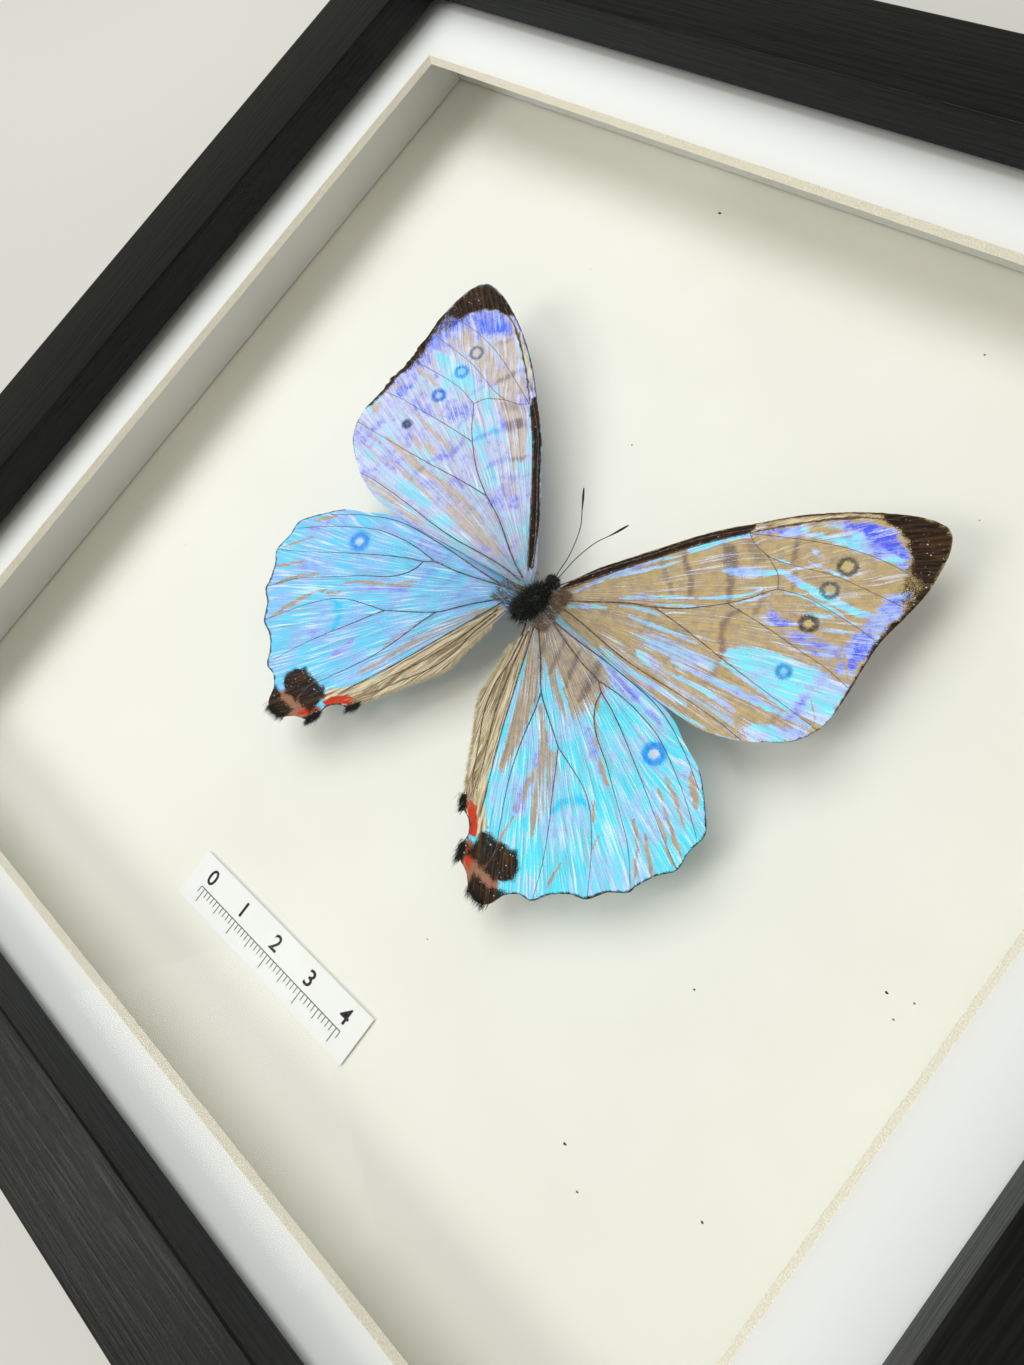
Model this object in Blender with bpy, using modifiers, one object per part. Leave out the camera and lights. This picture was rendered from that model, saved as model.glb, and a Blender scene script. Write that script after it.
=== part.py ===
"""Framed butterfly specimen: a mitred shadow box frame, glazed and matted, with a spread specimen in its well.

The box lies on its back. The origin is the centre of the back plane, +Z points out through the glass,
and +Y points to the top rail. Run with: blender --background --python part.py
"""

import math

import bmesh
import bpy
from mathutils import Matrix, Vector

MM = 0.001
GAP = 0.3 * MM  # clearance kept between touching pieces

# Frame
FRAME_SIDE = 250 * MM
FRAME_DEPTH = 45 * MM
RAIL_FACE = 17 * MM  # width of the rail's front face
RAIL_WALL = 11 * MM  # thickness of the rail behind the lip
LIP_DEPTH = 8 * MM
EDGE_RADIUS = 0.7 * MM
EDGE_STEPS = 3

# Sheet stock
GLASS_THICK = 1.8 * MM
MAT_THICK = 1.2 * MM
BOARD_THICK = 5 * MM
PANEL_THICK = 3 * MM
CARD_THICK = 0.3 * MM

# Mat window: distance from the frame's outer edge to the window's upper edge, and the bevel's run
WINDOW_LEFT = 24.6 * MM
WINDOW_RIGHT = 29.1 * MM
WINDOW_TOP = 29.6 * MM
WINDOW_BOTTOM = 25.4 * MM
WINDOW_BEVEL = 1.0 * MM

# Well: height of the mount board's face, and how far in from the outer edge each wall strip reaches
BOARD_FACE = 16.5 * MM
STRIP_LEFT = 15.8 * MM
STRIP_RIGHT = 16.0 * MM
STRIP_TOP = 17.4 * MM
STRIP_BOTTOM = 16.0 * MM

# Retaining tabs and hanger, in the recess behind the back panel
TAB_WIDTH = 8 * MM
TAB_LENGTH = 13 * MM
TAB_THICK = 0.5 * MM
TAB_GRIP = 3 * MM  # length of a tab held in its slot
TAB_ROUNDING = TAB_THICK * 0.3
TAB_SPACING = 110 * MM
HANGER_LENGTH = 44 * MM
HANGER_WIDTH = 10 * MM
HANGER_THICK = 0.8 * MM
HANGER_Y = 78 * MM
HANGER_TEETH = 9
TOOTHED_LENGTH = 27.28 * MM  # the toothed middle of the hanger's lower edge
TOOTH_DEPTH = 1.6 * MM
TOOTH_ARCH = 1.0 * MM  # how much higher the middle teeth stand than the end ones
SCREW_SPACING = 36 * MM
SCREW_Y = HANGER_Y + HANGER_WIDTH * 0.15
SCREW_RADIUS = 1.0 * MM
SCREW_HEAD_RADIUS = 2.6 * MM
SCREW_HEAD_THICK = 1.2 * MM
SCREW_REACH = 2.4 * MM  # how far the shank enters the panel

# Label card, on the mount board
LABEL_SIZE = (49.5 * MM, 10 * MM)
LABEL_CENTRE = (0.6 * MM, -80 * MM)
LABEL_TURN = math.radians(0.5)

# Specimen: the wing roots' common point, and how the spread specimen is turned and tipped
SPECIMEN_AT = (3.0 * MM, 3.35 * MM, 26.2 * MM)
SPECIMEN_TURN = tuple(math.radians(a) for a in (0.68, 1.51, -1.32))
WING_THICK = 0.25 * MM
WING_RISE = math.radians(3.0)  # each wing climbs outwards from the body
FOREWING_LIFT = 0.45 * MM
HINDWING_LIFT = -0.15 * MM
ROOT_RIGHT = 3.6  # how far out each pair of wings leaves the body, in millimetres
ROOT_LEFT = 2.0
FORE_ROOT_Y = (4.0, 1.0)  # where its front and hind edges meet the body
HIND_ROOT_Y = (-0.8, -3.4)
THORAX_AT = (0.8 * MM, -0.6 * MM, 0.3 * MM)
THORAX = (2.25 * MM, 4.3 * MM, 2.4 * MM)  # half width, half length, half height
HEAD_AT = (1.9 * MM, 4.5 * MM, 0.7 * MM)
HEAD = (1.45 * MM, 1.1 * MM, 1.2 * MM)
BODY_LEAN = math.radians(-12)
RISER_RADIUS = 1.6 * MM
ANTENNA_RADIUS = 0.14 * MM
CLUB_SWELL = 2.0  # the club's radius over the shaft's
LEG_RADIUS = 0.2 * MM
LEG_TAPER = 0.7  # the foot's radius over the thigh's

# Forewing outline in millimetres, out from the body and forward: front edge, tip, outer margin, hind edge
FOREWING = (
    (6.3, 9.8), (10.0, 15.0), (15.2, 21.6), (19.6, 27.1), (25.5, 32.8), (31.0, 38.0), (36.6, 42.2),
    (41.7, 45.2), (46.2, 47.3), (50.2, 48.3), (52.5, 47.8), (54.1, 45.5), (54.9, 42.2), (55.4, 37.8),
    (55.3, 34.2), (54.8, 29.7), (54.4, 26.0), (54.6, 22.3), (55.3, 15.7), (55.5, 12.0), (55.2, 9.1),
    (53.9, 6.1), (52.1, 4.0), (49.2, 1.9), (46.6, 0.2), (44.0, -0.9), (40.3, -2.0), (35.1, -2.3),
    (26.2, -1.9), (20.7, -1.2), (10.3, -0.2),
)
# Hindwing outline: front edge under the forewing, scalloped margin with vein points, anal lobes, fold
HINDWING = (
    (10.0, 0.2), (20.0, -0.2), (28.0, -1.2), (35.1, -3.1), (39.6, -5.4), (44.0, -7.5), (46.9, -10.1),
    (50.2, -13.8), (51.2, -15.7), (50.8, -19.0), (51.0, -22.6), (49.0, -25.4), (47.6, -28.6),
    (47.1, -30.4), (44.6, -32.4), (42.5, -35.5), (39.7, -36.8), (37.3, -38.9), (35.5, -41.7),
    (33.1, -42.3), (31.1, -44.2), (30.0, -47.0), (27.8, -48.1), (25.5, -47.4), (23.3, -45.6),
    (21.0, -44.7), (19.6, -43.3), (19.2, -40.4), (17.5, -38.5), (15.2, -37.5), (14.0, -35.2),
    (11.5, -31.5), (8.9, -27.1), (4.9, -20.9), (4.1, -16.7), (3.2, -10.9),
)
# Antennae, from the head to the club: across, forward and up from the specimen's point
ANTENNA_LEFT = ((2.0, 6.1, 1.6), (1.7, 10.3, 2.2), (0.4, 15.1, 2.8), (-1.7, 18.5, 3.2), (-3.9, 21.8, 3.5))
ANTENNA_RIGHT = ((2.6, 6.1, 1.6), (3.2, 10.3, 2.2), (4.5, 14.4, 2.8), (6.3, 17.4, 3.2), (7.8, 20.3, 3.5))
# The one hind leg that shows, folded back from the thorax
LEG = ((1.9, -4.9, -1.6), (2.5, -7.0, -2.2), (1.4, -9.6, -2.8))

FRONT = FRAME_DEPTH
LIP_UNDER = FRONT - LIP_DEPTH
GLASS_TOP = LIP_UNDER - GAP
MAT_TOP = GLASS_TOP - GLASS_THICK - GAP
MAT_UNDER = MAT_TOP - MAT_THICK
PANEL_TOP = BOARD_FACE - BOARD_THICK - GAP
PANEL_UNDER = PANEL_TOP - PANEL_THICK
HALF = FRAME_SIDE / 2
SHEET_HALF = HALF - RAIL_WALL - GAP  # half side of every sheet in the rabbet


def clear_scene():
    for item in list(bpy.data.objects):
        bpy.data.objects.remove(item)


def new_collection(name, hidden=False):
    made = bpy.data.collections.new(name)
    made.hide_render = hidden
    bpy.context.scene.collection.children.link(made)
    return made


def new_material(name, colour, roughness, metallic=0.0, alpha=1.0):
    made = bpy.data.materials.new(name)
    made.use_nodes = True
    shader = made.node_tree.nodes["Principled BSDF"]
    shader.inputs["Base Color"].default_value = (*colour, 1.0)
    shader.inputs["Roughness"].default_value = roughness
    shader.inputs["Metallic"].default_value = metallic
    shader.inputs["Alpha"].default_value = alpha
    return made


def add_object(name, data, material):
    made = bpy.data.objects.new(name, data)
    data.materials.append(material)
    PARTS.objects.link(made)
    return made


def mesh_from(name, shape):
    bmesh.ops.recalc_face_normals(shape, faces=shape.faces)
    data = bpy.data.meshes.new(name)
    shape.to_mesh(data)
    shape.free()
    return data


def box_mesh(name, low, high):
    shape = bmesh.new()
    size = Vector(high) - Vector(low)
    middle = (Vector(high) + Vector(low)) / 2
    bmesh.ops.create_cube(shape, size=1.0, matrix=Matrix.LocRotScale(middle, None, size))
    return mesh_from(name, shape)


def add_box(name, low, high, material):
    return add_object(name, box_mesh(name, low, high), material)


def add_tool(name, data, target, operation):
    """Put a hidden tool shape in the scene and cut it from the target, or join it on."""
    tool = bpy.data.objects.new(name, data)
    tool.hide_render = True
    tool.display_type = "WIRE"
    tool.matrix_world = target.matrix_world
    TOOLS.objects.link(tool)
    cut = target.modifiers.new(name, "BOOLEAN")
    cut.operation = operation
    cut.solver = "EXACT"
    cut.object = tool
    return tool


def rail_profile():
    """The rail's L section as (distance in from the outer face, height), with rounded front edges."""
    quarter = [math.pi / 2 * i / EDGE_STEPS for i in range(EDGE_STEPS + 1)]
    outer = [(EDGE_RADIUS * (1 - math.cos(a)), FRONT - EDGE_RADIUS * (1 - math.sin(a))) for a in quarter]
    inner = [(RAIL_FACE - x, z) for x, z in reversed(outer)]
    return [(0, 0), *outer, *inner, (RAIL_FACE, LIP_UNDER), (RAIL_WALL, LIP_UNDER), (RAIL_WALL, 0)]


def tab_places():
    return (-TAB_SPACING / 2, TAB_SPACING / 2)


def add_rail(name, turn):
    """A rail of the left side, mitred at both ends, turned about the frame's axis to its own side."""
    shape = bmesh.new()
    corners = [shape.verts.new((-HALF + depth, 0, z)) for depth, z in rail_profile()]
    section = shape.faces.new(corners)
    grown = bmesh.ops.extrude_face_region(shape, geom=[section])
    far = [v for v in grown["geom"] if isinstance(v, bmesh.types.BMVert)]
    reach = HALF - GAP / 2 * math.sqrt(2)
    for end, verts in ((-1, corners), (1, far)):
        for v in verts:
            v.co.y = end * (reach - (v.co.x + HALF))
    rail = add_object(name, mesh_from(name, shape), BLACK_PAINT)
    rail.rotation_euler.z = turn
    bpy.context.view_layer.update()
    for i, along in enumerate(tab_places()):
        low = (-HALF + RAIL_WALL - TAB_GRIP - GAP, along - TAB_WIDTH / 2 - GAP, tab_low() - GAP)
        high = (-HALF + RAIL_WALL + GAP, along + TAB_WIDTH / 2 + GAP, tab_low() + TAB_THICK + GAP)
        slot = f"slot_{name}_{i + 1}"
        add_tool(slot, box_mesh(slot, low, high), rail, "DIFFERENCE")


def tab_low():
    return PANEL_UNDER - GAP - TAB_THICK


def add_tab(name, turn, along):
    """A flat steel tab held in the rail's slot and pressing on the back panel."""
    start = -HALF + RAIL_WALL - TAB_GRIP
    low = (start, along - TAB_WIDTH / 2, tab_low())
    high = (start + TAB_LENGTH, along + TAB_WIDTH / 2, tab_low() + TAB_THICK)
    tab = add_box(name, low, high, STEEL)
    tab.rotation_euler.z = turn
    round_edges = tab.modifiers.new("round_end", "BEVEL")
    round_edges.width = TAB_ROUNDING
    round_edges.segments = 1


def add_sheet(name, top, thick, material):
    low = (-SHEET_HALF, -SHEET_HALF, top - thick)
    high = (SHEET_HALF, SHEET_HALF, top)
    return add_box(name, low, high, material)


def add_mat():
    """The mat board with its bevel cut window, which narrows from the face to the back."""
    mat = add_sheet("mat_board", MAT_TOP, MAT_THICK, MAT_CARD)
    low = Vector((-HALF + WINDOW_LEFT, -HALF + WINDOW_BOTTOM, 0))
    high = Vector((HALF - WINDOW_RIGHT, HALF - WINDOW_TOP, 0))
    slope = WINDOW_BEVEL / MAT_THICK
    over = MAT_THICK / 2  # the cutting shape runs past both faces
    shape = bmesh.new()
    bmesh.ops.create_cube(shape, size=1.0)
    for v in shape.verts:
        z = MAT_TOP + over if v.co.z > 0 else MAT_UNDER - over
        narrowing = slope * (MAT_TOP - z)
        v.co.x = high.x - narrowing if v.co.x > 0 else low.x + narrowing
        v.co.y = high.y - narrowing if v.co.y > 0 else low.y + narrowing
        v.co.z = z
    add_tool("mat_window", mesh_from("mat_window", shape), mat, "DIFFERENCE")


def add_wall_strips():
    low_z = BOARD_FACE + GAP
    high_z = MAT_UNDER - GAP
    edge = SHEET_HALF
    top = HALF - STRIP_TOP
    bottom = -HALF + STRIP_BOTTOM
    add_box("well_strip_top", (-edge, top, low_z), (edge, edge, high_z), WELL_CARD)
    add_box("well_strip_bottom", (-edge, -edge, low_z), (edge, bottom, high_z), WELL_CARD)
    side_low = bottom + GAP
    side_high = top - GAP
    left = -HALF + STRIP_LEFT
    right = HALF - STRIP_RIGHT
    add_box("well_strip_left", (-edge, side_low, low_z), (left, side_high, high_z), WELL_CARD)
    add_box("well_strip_right", (right, side_low, low_z), (edge, side_high, high_z), WELL_CARD)


def flat_curve(name, points, thick, material, smooth):
    """A closed 2D outline filled and extruded to a sheet, centred on its own plane."""
    outline = bpy.data.curves.new(name, "CURVE")
    outline.dimensions = "2D"
    outline.fill_mode = "BOTH"
    outline.extrude = thick / 2
    outline.resolution_u = 3
    spline = outline.splines.new("BEZIER" if smooth else "POLY")
    if smooth:
        spline.bezier_points.add(len(points) - 1)
        for knot, (x, y) in zip(spline.bezier_points, points):
            knot.co = (x, y, 0)
            knot.handle_left_type = knot.handle_right_type = "AUTO"
    else:
        spline.points.add(len(points) - 1)
        for knot, (x, y) in zip(spline.points, points):
            knot.co = (x, y, 0, 1)
    spline.use_cyclic_u = True
    return add_object(name, outline, material)


def mesh_object_from_curve(curve):
    """Replace a curve object by the mesh of its evaluated shape, with its caps welded."""
    bpy.context.view_layer.update()
    evaluated = curve.evaluated_get(bpy.context.evaluated_depsgraph_get())
    data = bpy.data.meshes.new_from_object(evaluated)
    shape = bmesh.new()
    shape.from_mesh(data)
    bmesh.ops.remove_doubles(shape, verts=shape.verts, dist=1e-6)
    shape.to_mesh(data)
    shape.free()
    name = curve.name
    place = curve.matrix_world.copy()
    bpy.data.objects.remove(curve)
    made = bpy.data.objects.new(name, data)
    made.matrix_world = place
    PARTS.objects.link(made)
    return made


def cylinder_mesh(name, radius, low, high, x, y, sides=24):
    shape = bmesh.new()
    place = Matrix.Translation((x, y, (low + high) / 2))
    bmesh.ops.create_cone(
        shape, cap_ends=True, segments=sides, radius1=radius, radius2=radius, depth=high - low, matrix=place
    )
    return mesh_from(name, shape)


def add_hanger(panel):
    """A toothed steel hanger screwed to the back panel, with its teeth down, in the recess."""
    half = HANGER_LENGTH / 2
    upper = HANGER_Y + HANGER_WIDTH / 2
    lower = HANGER_Y - HANGER_WIDTH / 2
    toothed = TOOTHED_LENGTH / 2
    pitch = 2 * toothed / HANGER_TEETH
    points = [(-half, lower), (-half, upper), (half, upper), (half, lower), (toothed, lower)]
    for i in range(1, 2 * HANGER_TEETH):
        x = toothed - i * pitch / 2
        root = TOOTH_DEPTH if i % 2 else 0
        points.append((x, lower + root + TOOTH_ARCH * (1 - (x / toothed) ** 2)))
    points.append((-toothed, lower))
    plate = flat_curve("hanger_plate", points, HANGER_THICK, STEEL, smooth=False)
    plate.location.z = PANEL_UNDER - GAP - HANGER_THICK / 2
    plate = mesh_object_from_curve(plate)
    plate_low = PANEL_UNDER - GAP - HANGER_THICK
    for i, x in enumerate((-SCREW_SPACING / 2, SCREW_SPACING / 2)):
        name = f"hanger_screw_{i + 1}"
        for target in (plate, panel):
            hole = f"hole_{target.name}_{i + 1}"
            top = PANEL_UNDER + SCREW_REACH + GAP
            data = cylinder_mesh(hole, SCREW_RADIUS + GAP, plate_low - GAP, top, x, SCREW_Y)
            add_tool(hole, data, target, "DIFFERENCE").matrix_world = Matrix()
        head_top = plate_low - GAP
        head = cylinder_mesh(name, SCREW_HEAD_RADIUS, head_top - SCREW_HEAD_THICK, head_top, x, SCREW_Y)
        screw = add_object(name, head, STEEL)
        shank_name = f"shank_{i + 1}"
        low = head_top - SCREW_HEAD_THICK / 2
        shank = cylinder_mesh(shank_name, SCREW_RADIUS, low, PANEL_UNDER + SCREW_REACH, x, SCREW_Y)
        add_tool(shank_name, shank, screw, "UNION")


def add_label():
    half_x = LABEL_SIZE[0] / 2
    half_y = LABEL_SIZE[1] / 2
    card = add_box("label_card", (-half_x, -half_y, 0), (half_x, half_y, CARD_THICK), PAPER)
    card.location = (*LABEL_CENTRE, BOARD_FACE + GAP)
    card.rotation_euler.z = LABEL_TURN


def add_wing(name, outline, roots, lift, side, specimen):
    """One wing, cut flat to its outline and hinged up from the body. side is 1 for right and -1 for left."""
    points = [(side * x * MM, y * MM) for x, y in (roots[0], *outline, roots[1])]
    wing = flat_curve(name, points, WING_THICK, WING, smooth=True)
    wing.parent = specimen
    wing.location.z = lift
    wing.rotation_euler.y = -side * WING_RISE


def add_wings(specimen):
    sides = (("right", 1, ROOT_RIGHT), ("left", -1, ROOT_LEFT))
    for label, side, root in sides:
        fore_roots = [(root, y) for y in FORE_ROOT_Y]
        hind_roots = [(root, y) for y in HIND_ROOT_Y]
        add_wing(f"forewing_{label}", FOREWING, fore_roots, FOREWING_LIFT, side, specimen)
        add_wing(f"hindwing_{label}", HINDWING, hind_roots, HINDWING_LIFT, side, specimen)


def ellipsoid_mesh(name, centre, radii, turn):
    shape = bmesh.new()
    place = Matrix.LocRotScale(centre, turn, radii)
    bmesh.ops.create_uvsphere(shape, u_segments=20, v_segments=12, radius=1.0, matrix=place)
    return mesh_from(name, shape)


def add_body(specimen):
    """Thorax and head in one piece; the abdomen is missing."""
    lean = Matrix.Rotation(BODY_LEAN, 3, "Z").to_quaternion()
    thorax = ellipsoid_mesh("body", Vector(THORAX_AT), THORAX, lean)
    body = add_object("body", thorax, BODY_HAIR)
    body.parent = specimen
    bpy.context.view_layer.update()
    add_tool("head", ellipsoid_mesh("head", Vector(HEAD_AT), HEAD, lean), body, "UNION")


def add_wire(name, points, radius, swell, material, specimen):
    """A thin tapered limb along a smooth path, swelling towards its end by the factor given."""
    path = bpy.data.curves.new(name, "CURVE")
    path.dimensions = "3D"
    path.bevel_depth = radius
    path.bevel_resolution = 1
    path.resolution_u = 4
    path.use_fill_caps = True
    spline = path.splines.new("BEZIER")
    spline.bezier_points.add(len(points) - 1)
    for i, (knot, place) in enumerate(zip(spline.bezier_points, points)):
        knot.co = Vector(place) * MM
        knot.handle_left_type = knot.handle_right_type = "AUTO"
        knot.radius = swell if i == len(points) - 1 else 1.0
    wire = add_object(name, path, material)
    wire.parent = specimen


def add_riser():
    """A small foam post that carries the specimen's thorax above the mount board."""
    middle = Vector(SPECIMEN_AT) + Vector(THORAX_AT)
    top = middle.z - THORAX[2] - GAP
    post = cylinder_mesh("specimen_riser", RISER_RADIUS, BOARD_FACE + GAP, top, middle.x, middle.y)
    add_object("specimen_riser", post, WELL_CARD)


def add_specimen():
    specimen = bpy.data.objects.new("specimen", None)
    specimen.location = SPECIMEN_AT
    specimen.rotation_euler = SPECIMEN_TURN
    PARTS.objects.link(specimen)
    bpy.context.view_layer.update()
    add_wings(specimen)
    add_body(specimen)
    add_wire("antenna_left", ANTENNA_LEFT, ANTENNA_RADIUS, CLUB_SWELL, BODY_HAIR, specimen)
    add_wire("antenna_right", ANTENNA_RIGHT, ANTENNA_RADIUS, CLUB_SWELL, BODY_HAIR, specimen)
    add_wire("hind_leg", LEG, LEG_RADIUS, LEG_TAPER, BODY_HAIR, specimen)
    add_riser()


def add_frame():
    sides = (("left", 0), ("bottom", 90), ("right", 180), ("top", 270))
    for label, degrees in sides:
        turn = math.radians(degrees)
        add_rail(f"rail_{label}", turn)
        for i, along in enumerate(tab_places()):
            add_tab(f"tab_{label}_{i + 1}", turn, along)


clear_scene()
PARTS = new_collection("framed_butterfly_specimen")
TOOLS = new_collection("tool_shapes", hidden=True)
BLACK_PAINT = new_material("black_paint", (0.012, 0.014, 0.014), 0.45)
GLASS = new_material("clear_glass", (0.95, 0.97, 0.97), 0.02, alpha=0.2)
MAT_CARD = new_material("mat_card", (0.86, 0.87, 0.88), 0.9)
WELL_CARD = new_material("well_card", (0.78, 0.79, 0.77), 0.9)
BACK_FIBRE = new_material("back_fibre", (0.3, 0.2, 0.12), 0.8)
PAPER = new_material("paper", (0.9, 0.9, 0.89), 0.8)
STEEL = new_material("steel", (0.55, 0.55, 0.56), 0.35, metallic=1.0)
WING = new_material("wing_scales", (0.3, 0.5, 0.85), 0.35)
BODY_HAIR = new_material("body_hair", (0.015, 0.015, 0.017), 0.9)

add_frame()
add_sheet("glass_pane", GLASS_TOP, GLASS_THICK, GLASS)
add_mat()
add_wall_strips()
add_sheet("mount_board", BOARD_FACE, BOARD_THICK, WELL_CARD)
BACK_PANEL = add_sheet("back_panel", PANEL_TOP, PANEL_THICK, BACK_FIBRE)
add_hanger(BACK_PANEL)
add_label()
add_specimen()
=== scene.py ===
# %% [markdown]
# # A framed butterfly specimen
# The object is a spread butterfly in the white well of a black shadow box frame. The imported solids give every
# place and size; this file gives the surfaces. Loading them first means that each piece below can be measured
# against the solid it stands for.

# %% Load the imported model
import math

import bpy
import numpy as np
from mathutils import Euler, Matrix, Vector, geometry, noise


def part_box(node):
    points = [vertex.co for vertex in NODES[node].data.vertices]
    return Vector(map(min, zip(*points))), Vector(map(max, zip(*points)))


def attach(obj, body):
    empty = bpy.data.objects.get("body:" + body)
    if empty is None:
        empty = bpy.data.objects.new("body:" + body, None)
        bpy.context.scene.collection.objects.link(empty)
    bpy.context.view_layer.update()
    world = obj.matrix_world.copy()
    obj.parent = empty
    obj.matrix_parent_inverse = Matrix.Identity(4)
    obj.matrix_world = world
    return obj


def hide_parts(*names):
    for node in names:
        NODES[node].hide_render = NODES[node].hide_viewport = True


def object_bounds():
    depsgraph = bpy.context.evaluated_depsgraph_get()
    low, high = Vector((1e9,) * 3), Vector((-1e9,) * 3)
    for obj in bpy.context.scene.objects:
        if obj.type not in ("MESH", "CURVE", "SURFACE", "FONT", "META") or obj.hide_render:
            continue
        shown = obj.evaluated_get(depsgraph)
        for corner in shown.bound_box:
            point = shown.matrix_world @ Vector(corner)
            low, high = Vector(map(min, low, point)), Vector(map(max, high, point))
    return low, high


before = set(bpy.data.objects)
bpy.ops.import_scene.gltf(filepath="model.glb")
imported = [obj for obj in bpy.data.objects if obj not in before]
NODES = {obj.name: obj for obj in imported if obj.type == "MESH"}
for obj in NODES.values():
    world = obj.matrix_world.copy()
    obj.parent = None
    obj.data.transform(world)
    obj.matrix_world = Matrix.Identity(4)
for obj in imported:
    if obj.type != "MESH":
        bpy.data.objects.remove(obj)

CAD_BOX = [list(corner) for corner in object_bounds()]
MM = 0.001
print("CAD box in mm:", [[round(c / MM, 1) for c in corner] for corner in CAD_BOX])

# %% [markdown]
# ## Camera
# A camera is a place and three directions. The picture is taken from close above the right side of the frame,
# with a wide lens, so the near rail looks much larger than the far one. Writing the right and up directions as
# a matrix is exact, where aiming with a tracking constraint would leave the roll to guesswork.

# %% Place the camera
CAMERA_AT = Vector((71.6, -20.8, 164.5)) * MM
CAMERA_RIGHT = Vector((0.7400, 0.6084, -0.2867))
CAMERA_UP = Vector((-0.5380, 0.7913, 0.2904))
CAMERA_BACK = CAMERA_RIGHT.cross(CAMERA_UP)
LENS = 22.0

camera_data = bpy.data.cameras.new("camera")
camera_data.lens = LENS
camera_data.clip_start = 5 * MM
camera = bpy.data.objects.new("camera", camera_data)
turn = Matrix((CAMERA_RIGHT, CAMERA_UP, CAMERA_BACK)).transposed()
camera.matrix_world = Matrix.Translation(CAMERA_AT) @ turn.to_4x4()
bpy.context.scene.collection.objects.link(camera)
bpy.context.scene.camera = camera
print("camera height in mm:", round(CAMERA_AT.z / MM, 1))

# %% [markdown]
# ## Light
# The wings' shadows are soft and fall to the right, which means a broad light high on the left and pale walls all
# round. A softbox gives that shadow and a warm even world fills it; a small lamp would draw a hard edge. The
# black coat would mirror the softbox, so it is hidden from glossy rays. A second panel, smaller but nearly as
# strong, stands where the bottom rail mirrors it, and brings out that rail's grain.

# %% Light the scene
WORLD_STRENGTH = 0.44


def add_softbox(name, place, side, watts, colour):
    """A square light that faces the object's middle."""
    light = bpy.data.lights.new(name, "AREA")
    light.size = side
    light.energy = watts
    light.color = colour
    box = bpy.data.objects.new(name, light)
    box.location = place
    box.rotation_euler = Vector(place).to_track_quat("Z", "Y").to_euler()
    bpy.context.scene.collection.objects.link(box)
    return box


softbox = add_softbox("softbox", (-0.30, 0.16, 0.74), 0.62, 3.5, (0.97, 1.0, 1.03))
softbox.visible_glossy = False
add_softbox("fill_panel", (-0.33, -0.63, 0.84), 0.4, 3.2, (1.0, 0.98, 0.94))
world = bpy.data.worlds.new("pale_room")
world.use_nodes = True
world.node_tree.nodes["Background"].inputs["Color"].default_value = (1.0, 0.945, 0.84, 1.0)
world.node_tree.nodes["Background"].inputs["Strength"].default_value = WORLD_STRENGTH
bpy.context.scene.world = world
bpy.context.scene.view_settings.view_transform = "Standard"
print("two area lights, world at", WORLD_STRENGTH)

# %% [markdown]
# ## Shader maths as plain expressions
# A finish is a tree of nodes, and a tree of maths nodes is hard to read. Here a Wire wraps one socket, and its
# operators add the Math nodes, so `1 - mask` works as it looks. A Finish holds one material and has one method
# for every other kind of node. Colours go through Mix nodes, because a Math node would turn them grey.


# %% A socket that does maths
class Wire:
    """One output socket of a finish; sums and products of wires add Math nodes."""

    def __init__(self, finish, socket):
        self.finish = finish
        self.socket = socket

    def maths(self, operation, first, second):
        return self.finish.node("Math", {"operation": operation}, {0: first, 1: second})

    def __add__(self, other):
        return self.maths("ADD", self, other)

    def __radd__(self, other):
        return self.maths("ADD", other, self)

    def __sub__(self, other):
        return self.maths("SUBTRACT", self, other)

    def __rsub__(self, other):
        return self.maths("SUBTRACT", other, self)

    def __mul__(self, other):
        return self.maths("MULTIPLY", self, other)

    def __rmul__(self, other):
        return self.maths("MULTIPLY", other, self)


# %% A finish and its one node method
class Finish:
    """A material under construction."""

    def __init__(self, name):
        self.material = bpy.data.materials.new(name)
        self.material.use_nodes = True
        self.tree = self.material.node_tree
        self.shader = self.tree.nodes["Principled BSDF"]

    def node(self, kind, settings=None, feeds=None, out=0):
        """Add a node: its settings first, then the value or wire of each socket named by number or name."""
        made = self.tree.nodes.new("ShaderNode" + kind)
        for key, value in (settings or {}).items():
            if key == "stops":
                self.set_stops(made.color_ramp, value)
            else:
                setattr(made, key, value)
        for key, value in (feeds or {}).items():
            self.feed(made.inputs[key], value)
        return Wire(self, made.outputs[out])

    def set_stops(self, ramp, stops):
        while len(ramp.elements) < len(stops):
            ramp.elements.new(1.0)
        for element, (place, colour) in zip(ramp.elements, stops):
            element.position = place
            element.color = colour

    def feed(self, socket, value):
        if isinstance(value, Wire):
            self.tree.links.new(value.socket, socket)
        else:
            socket.default_value = value

    def surface(self, **feeds):
        """Feed the main shader; base_color stands for its socket Base Color, and so on."""
        for key, value in feeds.items():
            self.feed(self.shader.inputs[key.replace("_", " ").title().replace("Ior", "IOR")], value)
        return self.material


# %% [markdown]
# ## The handful of nodes every finish shares
# Each finish here is a colour that drifts, a grain, and a bump. These short helpers name those steps once.
# Places are read from object coordinates, which stay with the piece, and are scaled to millimetres so that a
# grain's size can be written in the units of a ruler.


# %% Helpers for colour, grain and bump
def ink(red, green, blue):
    """A screen colour, 0 to 255, as the linear colour a shader wants."""
    parts = [c / 255 for c in (red, green, blue)]
    return (*[c / 12.92 if c <= 0.04045 else ((c + 0.055) / 1.055) ** 2.4 for c in parts], 1.0)


def place_mm(finish):
    here = finish.node("TexCoord", out="Object")
    return finish.node("VectorMath", {"operation": "SCALE"}, {0: here, "Scale": 1 / MM})


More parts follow.
